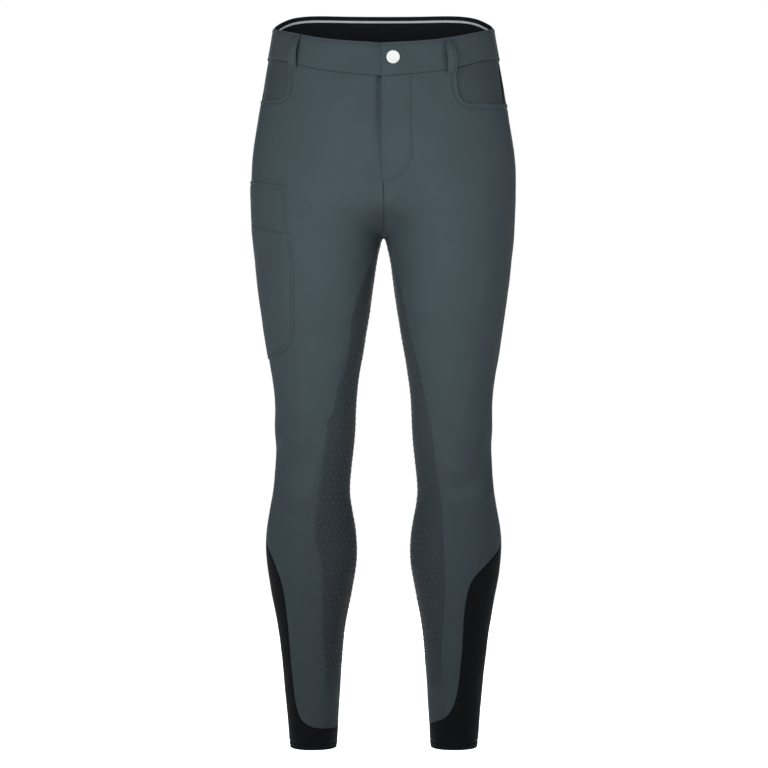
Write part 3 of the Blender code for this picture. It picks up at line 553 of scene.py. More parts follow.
def spokesRound(normals, sides):
    # even directions all round each normal
    aside = np.cross(normals, (0.0, 0.0, 1.0))
    aside /= np.linalg.norm(aside, axis=1)[:, None]
    up = np.cross(aside, normals)
    angles = 2 * math.pi * np.arange(sides) / sides
    return np.cos(angles)[:, None] * aside[:, None] + np.sin(angles)[:, None] * up[:, None]


def relief(flat, outline, stitched, roll, hems, flush):
    # how far the outer face lies above or below the flat wall, near edges, hems and stitches
    edge = lineDistance(flat, outline, closed=True)
    fade = np.clip(1 - edge / cloth["rollWidth"], 0, 1) ** 2
    for line in flush:
        fade *= 1 - cloth["flushShare"] * np.exp(-(lineDistance(flat, line) / cloth["flushWidth"]) ** 2)
    height = -roll * fade
    seam = edge
    for line in stitched:
        gap = lineDistance(flat, line)
        seam = np.minimum(seam, gap)
        height -= cloth["trough"] * np.exp(-(gap / cloth["troughWidth"]) ** 2) * (1 - fade)
        height += cloth["ridge"] * np.exp(-((gap - cloth["ridgeAt"]) / cloth["ridgeWidth"]) ** 2) * (1 - fade)
    for line, width, rise in hems:
        start, end = (width + part for part in cloth["hemRamp"])
        height += rise * (1 - smoothStep(start, end, lineDistance(flat, line)))
    return height, np.exp(-seam / cloth["puckerReach"]) * (1 - np.exp(-(edge / cloth["puckerIn"]) ** 2))


def cutFlat(outline, lines, fromInseam, roundLeg):
    # triangles over a flat outline, in close rows along its edge and its stitched lines
    rows = np.array([place for amount in cloth["edgeRows"]
                     for place in offsetLine(outline, amount, closed=True)])
    wanted = cloth["rowClear"] * np.repeat(cloth["edgeRows"], len(outline))
    rows = rows[(lineDistance(rows, outline, closed=True) > wanted) & insideOutline(rows, outline)]
    along = np.array([place for line in lines for amount in cloth["stitchRows"]
                      for place in offsetLine(line, amount)]).reshape(-1, 2)
    clear = lineDistance(along, outline, closed=True) > cloth["stitchClear"]
    along = along[clear & insideOutline(along, outline)]
    cells = {}
    spread(outline, cloth["closest"], cells)
    near = spread([*rows, *along], cloth["closest"], cells)
    inner = innerPoints(outline, np.array([*outline, *near]), fromInseam, roundLeg)
    points = [Vector(point) for point in [*outline, *near, *inner]]
    found = delaunay_2d_cdt(points, [], [list(range(len(outline)))], 1, cloth["merge"])
    flat = np.array([tuple(point) for point in found[0]])
    return flat, np.array([face for face, owner in zip(found[2], found[5]) if owner])


def wallFaces(triangles, count, mirrored):
    # the outer and inner side of a wall and the rim between them
    edges = np.concatenate([triangles[:, [0, 1]], triangles[:, [1, 2]], triangles[:, [2, 0]]])
    forward, backward = edges @ [count, 1], edges @ [1, count]
    rim = edges[~np.isin(forward, backward)]
    quads = np.column_stack([rim[:, 1], rim[:, 0], rim[:, 0] + count, rim[:, 1] + count])
    faces = triangles.tolist() + (triangles[:, ::-1] + count).tolist() + quads.tolist()
    return [face[::-1] for face in faces] if mirrored else faces


def sewCloth(name, side, outline, finish, wall=cloth["wall"], lift=0.0, shape=noShape, stitched=(),
             hems=(), flush=(), roundLeg=False, fromInseam=False, roll=cloth["roll"], nodes=(),
             restsOn=(), tone=None):
    # cuts a flat outline of (share, height), gives it a wall and lays it on the form
    outline = flatten(outline, fromInseam)
    if signedArea(outline) < 0:
        outline = outline[::-1]
    lines = [resample(line, cloth["step"]) for line in stitched]
    flat, triangles = cutFlat(outline, lines, fromInseam, roundLeg)
    share, height = unflatten(flat, fromInseam)
    piece = {"side": side, "roundLeg": roundLeg, "fromInseam": fromInseam, "lift": lift,
             "shape": shape, "outline": outline, "stitched": lines}
    raised, pucker = relief(flat, outline, lines, roll, hems, flush)
    outer, normals = clothPoints(piece, share, height, raised)
    outer += normals * (cloth["pucker"] * pucker * wobble(outer, cloth["puckerSize"]))[:, None]
    inner, _ = clothPoints(piece, share, height, -wall)
    made = meshObject(name, np.concatenate([outer, inner]),
                      wallFaces(triangles, len(flat), side == right), np.concatenate([flat, flat]))
    if tone:
        mask = made.data.attributes.new("tone", "FLOAT", "POINT")
        mask.data.foreach_set("value", np.tile(tone(flat), 2))
    made.data.materials.append(finish)
    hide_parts(*nodes)
    width, length = outline.max(0) - outline.min(0)
    piece |= {"object": made, "width": width, "length": length, "area": signedArea(outline),
              "restsOn": list(restsOn), "with": []}
    return piece


def resample(line, step):
    line = np.asarray(line, float)
    walked = walk(line)
    stations = np.linspace(0, walked[-1], max(2, math.ceil(walked[-1] / step) + 1))
    return np.column_stack([np.interp(stations, walked, line[:, axis]) for axis in (0, 1)])


def smoothLine(rows, spacing, stretch=1.0):
    # even curve through every row of a table, in stretches from row to row
    points = [Vector((across * stretch, height)) for across, height in rows]
    padded = [2 * points[0] - points[1], *points, 2 * points[-1] - points[-2]]
    pieces = []
    for before, start, end, after in zip(padded, padded[1:], padded[2:], padded[3:]):
        count = max(1, math.ceil((end - start).length / spacing))
        piece = []
        for k in range(count):
            t = k / count
            bend = (2 * before - 5 * start + 4 * end - after) * t * t
            twist = (3 * start - before - 3 * end + after) * t ** 3
            piece.append((2 * start + (end - before) * t + bend + twist) / 2)
        pieces.append(piece)
    pieces.append([points[-1]])
    return [[(p.x / stretch, p.y) for p in piece] for piece in pieces]


def join(pieces):
    return [point for piece in pieces for point in piece]


def ahead(distance, height):
    return 0.5 - 0.5 * distance / halfLength(front, height)


def behind(distance, height):
    return 0.5 + 0.5 * distance / halfLength(back, height)


def fromMiddle(distance, height):
    return 0.5 * distance / halfLength(front, height)


def placed(line, place):
    # (distance, height) to (share, height)
    return [(float(place(distance, height)), height) for distance, height in line]


def curve(rows, place):
    return placed(join(smoothLine(rows, cloth["step"])), place)


def evenly(start, end, step=cloth["step"]):
    return np.linspace(start, end, max(2, math.ceil(abs(end - start) / step) + 1)).tolist()


def upright(share, start, end):
    # points at one share between two heights, without the ends
    return [(share, height) for height in evenly(start, end)[1:-1]]


# Sewing thread, laid as single stitches in the troughs.
thread = {
    "pitch": 0.0030,
    "lead": 0.6,  # pitches before the first stitch
    "length": 0.0023,
    "radius": 0.00021,
    "tackSunk": 0.0001,
    "sides": 5,
    "rings": ((0.0, 0.45, -1.1), (0.2, 1.0, 0.35), (0.8, 1.0, 0.35), (1.0, 0.45, -1.1)),
}
sewn = {}


def layStitches(group, piece, starts, ends, radius=thread["radius"], sunk=cloth["trough"]):
    # one small tapered tube for each stitch, from flat start to flat end
    radius = np.broadcast_to(radius, len(starts))
    along = np.array([ring[0] for ring in thread["rings"]])
    size = np.array([ring[1] for ring in thread["rings"]])[None] * radius[:, None]
    rise = np.array([ring[2] for ring in thread["rings"]])[None] * radius[:, None] - sunk
    flat = starts[:, None] + (ends - starts)[:, None] * along[None, :, None]
    share, height = unflatten(flat.reshape(-1, 2), piece["fromInseam"])
    centres, normals = clothPoints(piece, share, height, rise.ravel())
    centres, normals = (array.reshape(-1, len(along), 3) for array in (centres, normals))
    tangent = centres[:, -1] - centres[:, 0]
    tangent /= np.linalg.norm(tangent, axis=1)[:, None]
    aside = np.cross(normals, tangent[:, None])
    turnBy = 2 * math.pi * np.arange(thread["sides"]) / thread["sides"]
    rim = (np.cos(turnBy)[:, None] * aside[:, :, None] + np.sin(turnBy)[:, None] * normals[:, :, None])
    sewn.setdefault(group, []).append(centres[:, :, None] + rim * size[..., None, None])


def stitchLine(group, piece, line, pitch=thread["pitch"], length=thread["length"], sunk=cloth["trough"]):
    walked = walk(line)
    first = np.arange(pitch * thread["lead"], walked[-1] - length, pitch)
    ends = [np.column_stack([np.interp(first + far, walked, line[:, axis]) for axis in (0, 1)])
            for far in (0, length)]
    if len(first):
        layStitches(group, piece, *ends, sunk=sunk)


def sewAll(group, piece):
    for line in piece["stitched"]:
        stitchLine(group, piece, line)


def barTack(group, piece, middle, width, tall, count):
    # a dense bar of upright stitches across a strap's end
    across = middle[0] + np.linspace(-width / 2, width / 2, count)
    starts = np.column_stack([across, np.full(count, middle[1] - tall / 2)])
    layStitches(group, piece, starts, starts + (0, tall), sunk=thread["tackSunk"])


def buildStitches(group, name, finish):
    stitches = np.concatenate(sewn[group])
    count, ringCount, sides = stitches.shape[:3]
    ring = np.arange(sides)
    quads = [np.column_stack([k * sides + ring, k * sides + (ring + 1) % sides,
                              (k + 1) * sides + (ring + 1) % sides, (k + 1) * sides + ring])
             for k in range(ringCount - 1)]
    quads = np.concatenate(quads)
    shift = (np.arange(count) * ringCount * sides)[:, None, None]
    faces = (quads + shift).reshape(-1, 4).tolist()
    caps = np.stack([ring[::-1], (ringCount - 1) * sides + ring])
    faces += (caps + shift).reshape(-1, sides).tolist()
    made = meshObject(name, stitches.reshape(-1, 3), faces)
    made.data.materials.append(finish)
    return made


def nodeMaterial(name):
    made = bpy.data.materials.new(name)
    made.use_nodes = True
    tree = made.node_tree
    shader = tree.nodes["Principled BSDF"]

    def add(kind, inputs=None, **settings):
        node = tree.nodes.new(kind)
        for key, value in settings.items():
            setattr(node, key, value)
        for key, value in (inputs or {}).items():
            if isinstance(value, bpy.types.NodeSocket):
                tree.links.new(value, node.inputs[key])
            else:
                node.inputs[key].default_value = value
        return node

    return made, tree, shader, add


# The cloths: colour, how far it varies, the size of a knitted loop, and the finish.
clothLooks = {
    "stretchCloth": {"colour": (0.0535, 0.0750, 0.0862), "vary": 0.10, "loop": (0.00085, 0.00070),
                     "bump": 0.00010, "roughness": 0.66, "specular": 0.10, "sheen": 0.03},
    # the grip's dark colour is partly its own darker print ground and partly painted shade of the inner thigh
    # and calf; the paler colour is the cloth without that shade
    "gripCloth": {"colour": (0.0368, 0.0488, 0.0580), "paler": (0.0530, 0.0742, 0.0852), "vary": 0.10,
                  "loop": (0.00085, 0.00070), "bump": 0.00010, "roughness": 0.66,
                  "specular": 0.10, "sheen": 0.03},
    "facingCloth": {"colour": (0.0508, 0.0684, 0.0772), "vary": 0.08, "loop": (0.00060, 0.00055),
                    "bump": 0.00007, "roughness": 0.74, "specular": 0.08, "sheen": 0.02},
    "blackKnit": {"colour": (0.0052, 0.0066, 0.0080), "vary": 0.14, "loop": (0.0011, 0.0008),
                  "bump": 0.00014, "roughness": 0.72, "specular": 0.05, "sheen": 0.01},
    "liningCloth": {"colour": (0.0105, 0.0125, 0.0142), "vary": 0.10, "loop": (0.0008, 0.0008),
                    "bump": 0.00008, "roughness": 0.70, "specular": 0.05, "sheen": 0.01},
    "silverTape": {"colour": (0.66, 0.67, 0.68), "vary": 0.10, "loop": (0.0012, 0.0006),
                   "bump": 0.00012, "roughness": 0.50, "specular": 0.50, "sheen": 0.0},
}
# What the knits share.
knit = {
    "bend": 1.1,  # how far a row of loops sways
    "fibres": 1700.0,
    "fibreHeight": 0.8,
    "patches": 14.0,
    "patchShare": 0.7,
    "bumpStrength": 0.55,
    "noise": (0.3, 0.7),  # the part of the noise's range that is used
    "roughSpread": 0.05,
    "sheenRoughness": 0.5,
}


def knitMaterial(name):
    look = clothLooks[name]
    made, tree, shader, add = nodeMaterial(name)
    place = add("ShaderNodeUVMap", uv_map="cloth").outputs["UV"]
    split = add("ShaderNodeSeparateXYZ", {0: place}).outputs

    def maths(operation, first, second=0.0):
        return add("ShaderNodeMath", {0: first, 1: second}, operation=operation).outputs[0]

    wale = maths("SINE", maths("MULTIPLY", split["X"], 2 * math.pi / look["loop"][0]))
    course = maths("MULTIPLY", split["Y"], 2 * math.pi / look["loop"][1])
    course = maths("SINE", maths("ADD", course, maths("MULTIPLY", wale, knit["bend"])))
    loops = maths("ADD", maths("MULTIPLY", wale, 0.5), maths("MULTIPLY", course, 0.5))
    fibre = add("ShaderNodeTexNoise", {"Vector": place, "Scale": knit["fibres"], "Detail": 2.0}).outputs[0]
    broad = add("ShaderNodeTexNoise", {"Vector": place, "Scale": knit["patches"], "Detail": 4.0,
                                       "Roughness": 0.55}).outputs[0]
    height = maths("ADD", loops, maths("MULTIPLY", fibre, knit["fibreHeight"]))
    bump = add("ShaderNodeBump", {"Height": height, "Distance": look["bump"],
                                  "Strength": knit["bumpStrength"]})
    tree.links.new(bump.outputs[0], shader.inputs["Normal"])
    colour = look["colour"]
    if "paler" in look:
        tone = add("ShaderNodeAttribute", attribute_name="tone").outputs["Fac"]
        colour = add("ShaderNodeMix", {0: tone, 6: (*look["paler"], 1), 7: (*colour, 1)},
                     data_type="RGBA").outputs[2]
    patchy = maths("ADD", maths("MULTIPLY", broad, knit["patchShare"]),
                   maths("MULTIPLY", fibre, 1 - knit["patchShare"]))
    low, high = knit["noise"]
    shade = add("ShaderNodeMapRange", {0: patchy, 1: low, 2: high, 3: 1 - look["vary"],
                                       4: 1 + look["vary"]}).outputs[0]
    deep = maths("ADD", shade, maths("MULTIPLY", loops, look["vary"] * 0.5))
    varied = add("ShaderNodeVectorMath", {0: colour, "Scale": deep}, operation="SCALE")
    tree.links.new(varied.outputs[0], shader.inputs["Base Color"])
    rough = add("ShaderNodeMapRange", {0: broad, 1: low, 2: high,
                                       3: look["roughness"] - knit["roughSpread"],
                                       4: look["roughness"] + knit["roughSpread"]})
    tree.links.new(rough.outputs[0], shader.inputs["Roughness"])
    shader.inputs["Specular IOR Level"].default_value = look["specular"]
    shader.inputs["Sheen Weight"].default_value = look["sheen"]
    shader.inputs["Sheen Roughness"].default_value = knit["sheenRoughness"]
    return made


# Thread, silicone and button, which have no weave of their own.
solidLooks = {
    # the cloth-coloured thread is made darker than the cloth as painted shade of the stitch troughs
    "shadedThread": {"colour": (0.034, 0.045, 0.053), "roughness": 0.55, "grain": 5200.0,
                     "vary": 0.20, "bump": 0.00004, "specular": 0.35, "coat": 0.0},
    "blackThread": {"colour": (0.010, 0.011, 0.012), "roughness": 0.55, "grain": 5200.0,
                    "vary": 0.20, "bump": 0.00004, "specular": 0.35, "coat": 0.0},
    "siliconeDots": {"colour": (0.043, 0.056, 0.066), "roughness": 0.42, "grain": 900.0,
                     "vary": 0.10, "bump": 0.00002, "specular": 0.30, "coat": 0.0},
    "buttonPlastic": {"colour": (0.90, 0.91, 0.905), "roughness": 0.24, "grain": 260.0,
                      "vary": 0.02, "bump": 0.00001, "specular": 0.50, "coat": 0.35},
}


def solidMaterial(name):
    look = solidLooks[name]
    made, tree, shader, add = nodeMaterial(name)
    place = add("ShaderNodeTexCoord").outputs["Object"]
    grain = add("ShaderNodeTexNoise", {"Vector": place, "Scale": look["grain"], "Detail": 3.0}).outputs[0]
    dark, pale = ([channel * (1 + way * look["vary"]) for channel in look["colour"]] for way in (-1, 1))
    colour = add("ShaderNodeMix", {0: grain, 6: (*dark, 1), 7: (*pale, 1)}, data_type="RGBA").outputs[2]
    tree.links.new(colour, shader.inputs["Base Color"])
    rough = add("ShaderNodeMapRange", {0: grain, 3: look["roughness"] - knit["roughSpread"],
                                       4: look["roughness"] + knit["roughSpread"]})
    tree.links.new(rough.outputs[0], shader.inputs["Roughness"])
    bump = add("ShaderNodeBump", {"Height": grain, "Distance": look["bump"], "Strength": 0.5})
    tree.links.new(bump.outputs[0], shader.inputs["Normal"])
    shader.inputs["Specular IOR Level"].default_value = look["specular"]
    shader.inputs["Coat Weight"].default_value = look["coat"]
    return made


finish = {name: knitMaterial(name) for name in clothLooks}
finish |= {name: solidMaterial(name) for name in solidLooks}
pieces = {}
print("materials mixed:", len(finish))

# Waistband: a dipped band in two halves, the left one lapping over the right at the front.
waistband = {
    "rows": (
        # share, top edge, seam
        (0.00, -0.0335, -0.0790),
        (0.12, -0.0300, -0.0735),
        (0.23, -0.0225, -0.0645),
        (0.31, -0.0145, -0.0545),
        (0.40, -0.0065, -0.0465),
        (0.50, 0.0020, -0.0380),
        (0.60, 0.0145, -0.0260),
        (0.66, 0.0230, -0.0180),
        (0.74, 0.0288, -0.0110),
        (0.85, 0.0304, -0.0085),
        (1.00, 0.0305, -0.0080),
    ),
    "wall": 0.0020,
    "lift": 0.0004,
    "overPastMiddle": 0.0034,
    "underPastMiddle": 0.0270,
    "stitchUnderTop": 0.0022,
    "stitchEnd": 0.998,
    "quarterRound": 0.220,  # of the way round the waist, for the spacing of points
}
topLine, seamLine = spline(waistband["rows"], 1), spline(waistband["rows"], 2)


def waistRow(line, first, last):
    # points along the waistband's top or seam, the same on both halves
    shares = evenly(first, last, cloth["step"] / 2 / waistband["quarterRound"])
    return [(share, float(line(abs(share) if share <= 1 else 2 - share))) for share in shares]


# Fly: the left front laps over the right front, which reaches under it.
fly = {
    "bottom": -0.222,
    "edgeEnd": -0.213,
    "overPastMiddle": 0.0028,
    "underPastMiddle": 0.0140,
    "flat": 0.006,
    "ramp": 0.022,
    "runOut": 0.028,
    "runEnd": 0.002,
    "stitch": (
        # from the middle front, height
        (0.0370, -0.0775),
        (0.0370, -0.1250),
        (0.0380, -0.1650),
        (0.0380, -0.1840),
        (0.0360, -0.1930),
        (0.0320, -0.2020),
        (0.0260, -0.2100),
        (0.0190, -0.2150),
        (0.0100, -0.2180),
        (0.0010, -0.2192),
    ),
    "gutter": 0.0046,  # the fold beside the lap: depth, place from the middle and width
    "gutterAt": 0.0050,
    "gutterWidth": 0.0040,
    "gutterRise": (0.005, 0.115),
    "gape": 0.0016,  # how far the lap's edge stands off at its top
    "gapeWidth": 0.009,
    "gapeRise": 0.08,
    "seamStitch": (0.004, 0.012, 0.0019),  # below the fly, above the crotch, beside the seam
    "seamStep": 0.01,
}


def lapSink(depth, bottom=None):
    # the under side of a lap lies in below it
    def shape(share, height):
        distance = share * 2 * halfLength(front, height)
        sink = depth * (1 - smoothStep(fly["flat"], fly["ramp"], distance))
        if bottom is not None:
            sink = sink * smoothStep(bottom - fly["runOut"], bottom - fly["runEnd"], height)
            fold = np.exp(-((distance - fly["gutterAt"]) / fly["gutterWidth"]) ** 2)
            start, end = (bottom + above for above in fly["gutterRise"])
            sink = sink + fly["gutter"] * fold * smoothStep(start, end, height)
        return -sink
    return shape


def lapGape(share, height):
    distance = share * 2 * halfLength(front, height) + fly["overPastMiddle"]
    lifted = fly["gape"] * np.clip(1 - distance / fly["gapeWidth"], 0, 1) ** 2
    return lifted * smoothStep(fly["bottom"], fly["bottom"] + fly["gapeRise"], height)


def flyLine(pastMiddle):
    foot = evenly(fly["bottom"], fly["edgeEnd"])[:-1]
    line = [(pastMiddle * k / len(foot), height) for k, height in enumerate(foot)]
    line += [(pastMiddle, height) for height in evenly(fly["edgeEnd"], float(seamLine(0)))]
    return placed(line, fromMiddle)


# Hand pockets: where each mouth leaves the waistband, then its edge.
handPocket = {
    left: {
        "share": 0.2195,
        "facingShare": 0.1885,
        "stitchOff": 0.0065,
        "edge": (
            # ahead of the side seam, height
            (0.1305, -0.0850),
            (0.1310, -0.1000),
            (0.1260, -0.1095),
            (0.1120, -0.1125),
            (0.0600, -0.1090),
            (0.0000, -0.1035),
        ),
    },
    right: {
        "share": 0.3045,
        "facingShare": 0.2735,
        "stitchOff": 0.0050,
        "edge": (
            (0.0930, -0.0780),
            (0.0960, -0.0930),
            (0.0925, -0.1020),
            (0.0790, -0.1045),
            (0.0400, -0.1020),
            (0.0000, -0.0990),
        ),
    },
    "facingMargin": 0.014,
    "facingSink": 0.0010,
    "welt": 0.0006,  # how far the turned hem of the mouth stands proud
    "weltIn": 0.0012,
    "levelAtSeam": 0.0016,  # the facing comes up by this much beside the side seam
    "levelReach": 0.030,
    "levelRise": (0.003, 0.020),
}


def mouthEdge(side, share, margin=0.0):
    height = float(seamLine(share))
    start = (1 - 2 * share) * float(halfLength(front, height))
    rows = [(distance + margin if distance else 0.0, level - margin)
            for distance, level in handPocket[side]["edge"]]
    return [(share, height), *curve([(start, height), *rows], ahead)[1:]]


# Black stretch cuffs: their upper edge from the inseam round the leg and back to it.
cuffs = {
    left: (
        # share, height
        (0.000, -0.9590), (0.100, -0.9555), (0.190, -0.9475), (0.238, -0.9330),
        (0.264, -0.9080), (0.278, -0.8600), (0.283, -0.8000), (0.303, -0.7630),
        (0.345, -0.7440), (0.407, -0.7265), (0.500, -0.7080), (0.600, -0.7000),
        (0.700, -0.7140), (0.790, -0.7550), (0.840, -0.8150), (0.865, -0.8800),
        (0.905, -0.9350), (1.000, -0.9590),
    ),
    right: (
        (0.000, -0.9620), (0.137, -0.9630), (0.240, -0.9605), (0.303, -0.9530),
        (0.337, -0.9400), (0.358, -0.9150), (0.364, -0.8700), (0.361, -0.8100),
        (0.364, -0.7750), (0.380, -0.7500), (0.420, -0.7240), (0.500, -0.7030),
        (0.610, -0.6960), (0.710, -0.7090), (0.800, -0.7500), (0.855, -0.8150),
        (0.885, -0.8800), (0.920, -0.9350), (1.000, -0.9620),
    ),
    "atGrip": 2,
    "atSide": {left: 10, right: 11},
    "atBack": {left: 12, right: 13},
    "stretch": 0.300,
    "hemStitch": (0.0030, 0.0090),
    "stitchEnds": (0.004, 0.996),
    "shareStep": 0.014,
}


def cuffEdge(side, first, last=None):
    rows = smoothLine(cuffs[side], cloth["step"], cuffs["stretch"])
    last = len(cuffs[side]) - 1 if last is None else last
    return join(rows[first:last]) + [rows[last][0]]


# Grip pieces: their front seam from the crotch, their back edge round the seat, and their tone: a dark ground
# that is partly the grip's own darker print ground and partly painted shade of the inner leg.
grip = {
    left: (
        # from the inseam, height
        (0.020, -0.3000), (0.029, -0.3260), (0.043, -0.3630), (0.051, -0.4200),
        (0.055, -0.5000), (0.062, -0.5500), (0.061, -0.6200), (0.071, -0.6650),
        (0.082, -0.7200), (0.078, -0.7650), (0.062, -0.8180), (0.051, -0.8600),
    ),
    right: (
        (0.030, -0.3000), (0.054, -0.3250), (0.067, -0.3630), (0.071, -0.4200),
        (0.072, -0.5000), (0.080, -0.5650), (0.082, -0.6300), (0.094, -0.6700),
        (0.106, -0.7250), (0.099, -0.7850), (0.081, -0.8530),
    ),
    "back": (
        # behind the side seam, height
        (0.170, -0.0870), (0.128, -0.1020), (0.102, -0.1350), (0.092, -0.1900),
        (0.093, -0.2600), (0.096, -0.3400), (0.093, -0.4200), (0.084, -0.5000),
        (0.077, -0.6000), (0.081, -0.6700),
    ),
    "seatTop": -0.085,
    "paleBand": (
        # height, from the inseam to where the dark ground, part print ground and part painted shade of the
        # inner leg, ends on the right leg
        (-0.881, 0.048), (-0.826, 0.062), (-0.785, 0.072), (-0.738, 0.083), (-0.703, 0.092),
        (-0.675, 0.087), (-0.648, 0.0775), (-0.621, 0.0735), (-0.580, 0.0745), (-0.542, 0.0765),
        (-0.526, 0.071), (-0.499, 0.066), (-0.472, 0.060), (-0.445, 0.061), (-0.404, 0.069),
        (-0.377, 0.067), (-0.336, 0.052), (-0.300, 0.020),
    ),
    "toneFade": 0.0022,
    # the left grip takes this share of the dark ground and its painted shade all over
    "leftTone": 0.72,
    # heights over which the dark ground and its painted shade fade out towards the cuff
    "printAndShadeEnds": (-0.925, -0.875),
    "dotSpacing": 0.0094,
    "dotRadius": 0.00120,
    "dotHeight": 0.00048,
    "dotsEnd": -0.884,
    "dotMargin": 0.0065,
    "dotSides": 7,
    "dotRows": ((1.0, -0.4), (0.72, 0.72)),  # shares of the radius and the height, foot then shoulder
}


def gripFront(side):
    end = cuffs[side][cuffs["atGrip"]]
    endDistance = end[0] * 2 * float(halfLength(front, end[1]))
    return curve([(0.0, crotchHeight), *grip[side], (endDistance, end[1])], fromMiddle)


def gripBack(side):
    end = cuffs[side][cuffs["atBack"][side]]
    endDistance = (end[0] - 0.5) * 2 * float(halfLength(back, end[1]))
    rows = [(float(halfLength(back, grip["seatTop"])), grip["seatTop"]), *grip["back"],
            (endDistance, end[1])]
    return curve(rows, behind)


def makeFront(side, hand):
    lap = fly["overPastMiddle"] if side == left else fly["underPastMiddle"]
    lapEdge = [(-share, height) for share, height in flyLine(lap)]
    mouth = mouthEdge(side, handPocket[side]["share"])
    cuffLine = cuffEdge(side, cuffs["atGrip"], cuffs["atSide"][side])
    outline = waistRow(seamLine, lapEdge[-1][0], mouth[0][0])[1:-1] + mouth
    outline += upright(0.5, mouth[-1][1], cuffLine[-1][1])
    outline += cuffLine[::-1] + gripFront(side)[1:-1][::-1]
    outline += [(0.0, height) for height in middleHeights(front, fly["bottom"], crotchHeight)[:0:-1]]
    outline += lapEdge
    stitched = [offsetLine(flatten(mouth), -handPocket[side]["stitchOff"])]
    if side == left:
        stitched.append(flatten(curve(fly["stitch"], fromMiddle)))
        below, above, beside = fly["seamStitch"]
        seam = [(0.0, height)
                for height in evenly(fly["bottom"] - below, crotchHeight + above, fly["seamStep"])]
        stitched.append(flatten(seam) + (beside, 0.0))
    shape = lapGape if side == left else lapSink(cloth["wall"] + cloth["layerGap"], fly["bottom"])
    welt = (flatten(mouth), handPocket[side]["stitchOff"] - handPocket["weltIn"], handPocket["welt"])
    return sewCloth("front" + hand, side, outline, finish["stretchCloth"], shape=shape,
                    stitched=stitched, hems=[welt], flush=[flatten(gripFront(side))],
                    nodes=["front_" + hand.lower()],
                    restsOn=["waistband" + hand, "back" + hand])


def makeBack(side, hand):
    seat = gripBack(side)
    cuffLine = cuffEdge(side, cuffs["atSide"][side], cuffs["atBack"][side])
    outline = waistRow(seamLine, 0.5, 1.0)
    outline += upright(1.0, outline[-1][1], grip["seatTop"]) + seat[:-1] + cuffLine[::-1]
    outline += upright(0.5, cuffLine[0][1], outline[0][1])
    return sewCloth("back" + hand, side, outline, finish["stretchCloth"],
                    nodes=["back_" + hand.lower(), "lower_back_" + hand.lower()],
                    restsOn=["waistband" + hand, "front" + hand])


def gripPrintAndShade(side):
    # 1 where the dark ground lies, partly the print's own darker ground and partly painted shade of the inner
    # leg; 0 where the cloth is paler
    def tone(flat):
        printAndShade = smoothStep(*grip["printAndShadeEnds"], flat[:, 1])
        if side == left:
            return printAndShade * grip["leftTone"]
        rows = np.array(grip["paleBand"])
        edge = np.interp(flat[:, 1], rows[:, 0], rows[:, 1])
        return printAndShade * (1 - smoothStep(edge - grip["toneFade"], edge + grip["toneFade"], flat[:, 0]))
    return tone


def makeGrip(side, hand):
    rear = [(share - 1, height) for share, height in gripBack(side)]
    cuffLine = [(share - 1, height) for share, height in cuffEdge(side, cuffs["atBack"][side])[:-1]]
    outline = gripFront(side)[:-1] + cuffEdge(side, 0, cuffs["atGrip"])[::-1] + cuffLine[::-1]
    outline += rear[:-1][::-1]
    justBehind = -1e-9  # the middle back, seen from behind the inseam
    outline += [(justBehind, height)
                for height in middleHeights(back, grip["seatTop"], crotchHeight)[1:-1]]
    return sewCloth("grip" + hand, side, outline, finish["gripCloth"], roundLeg=True,
                    fromInseam=True, tone=gripPrintAndShade(side),
                    flush=[flatten(gripFront(side), True)],
                    nodes=["seat_grip_" + hand.lower(), "leg_grip_" + hand.lower()],
                    restsOn=["front" + hand, "back" + hand])


def makeCuff(side, hand):
    hem = bodyForm["hem"]
    outline = cuffEdge(side, 0)
    outline += upright(1.0, outline[-1][1], hem)
    outline += [(share, hem) for share in evenly(1.0, 0.0, cuffs["shareStep"])]
    outline += upright(0.0, hem, outline[0][1])
    shares = evenly(*cuffs["stitchEnds"], cuffs["shareStep"])
    stitched = [flatten([(share, hem + rise) for share in shares]) for rise in cuffs["hemStitch"]]
    return sewCloth("cuff" + hand, side, outline, finish["blackKnit"], roundLeg=True,
                    stitched=stitched, nodes=["cuff_" + hand.lower()],
                    restsOn=["front" + hand, "back" + hand])


def facingLevel(side):
    # at the side seam a facing lies as high as its neighbours, but not where it is under the front
    bottom = handPocket[side]["edge"][-1][1]

    def shape(share, height):
        distance = (1 - 2 * share) * halfLength(front, height)
        near = 1 - smoothStep(0.0, handPocket["levelReach"], distance)
        start, end = (bottom + above for above in handPocket["levelRise"])
        return handPocket["levelAtSeam"] * near * smoothStep(start, end, height)
    return shape


def makeFacing(side, hand):
    pocket = handPocket[side]
    edge = mouthEdge(side, pocket["facingShare"], handPocket["facingMargin"])
    outline = edge + upright(0.5, edge[-1][1], float(seamLine(0.5)))
    outline += waistRow(seamLine, edge[0][0], 0.5)[1:][::-1]
    return sewCloth("pocketFacing" + hand, side, outline, finish["facingCloth"],
                    shape=facingLevel(side),
                    lift=-cloth["wall"] - handPocket["facingSink"],
                    nodes=["pocket_facing_" + hand.lower()], restsOn=["front" + hand])


# A black sheet of painted shadow in the side opening of the left hand pocket, standing for the deep shade
# that falls there.
pocketShadow = {
    "rows": ((0.0060, -0.0470), (0.0160, -0.0560), (0.0240, -0.0750), (0.0290, -0.0920),
             (0.0310, -0.1063)),
    "bottom": ((0.0310, -0.1063), (0.0150, -0.1047), (0.0000, -0.1033)),
    "wall": 0.0006,
    "over": 0.0007,
    "roll": 0.0003,
}


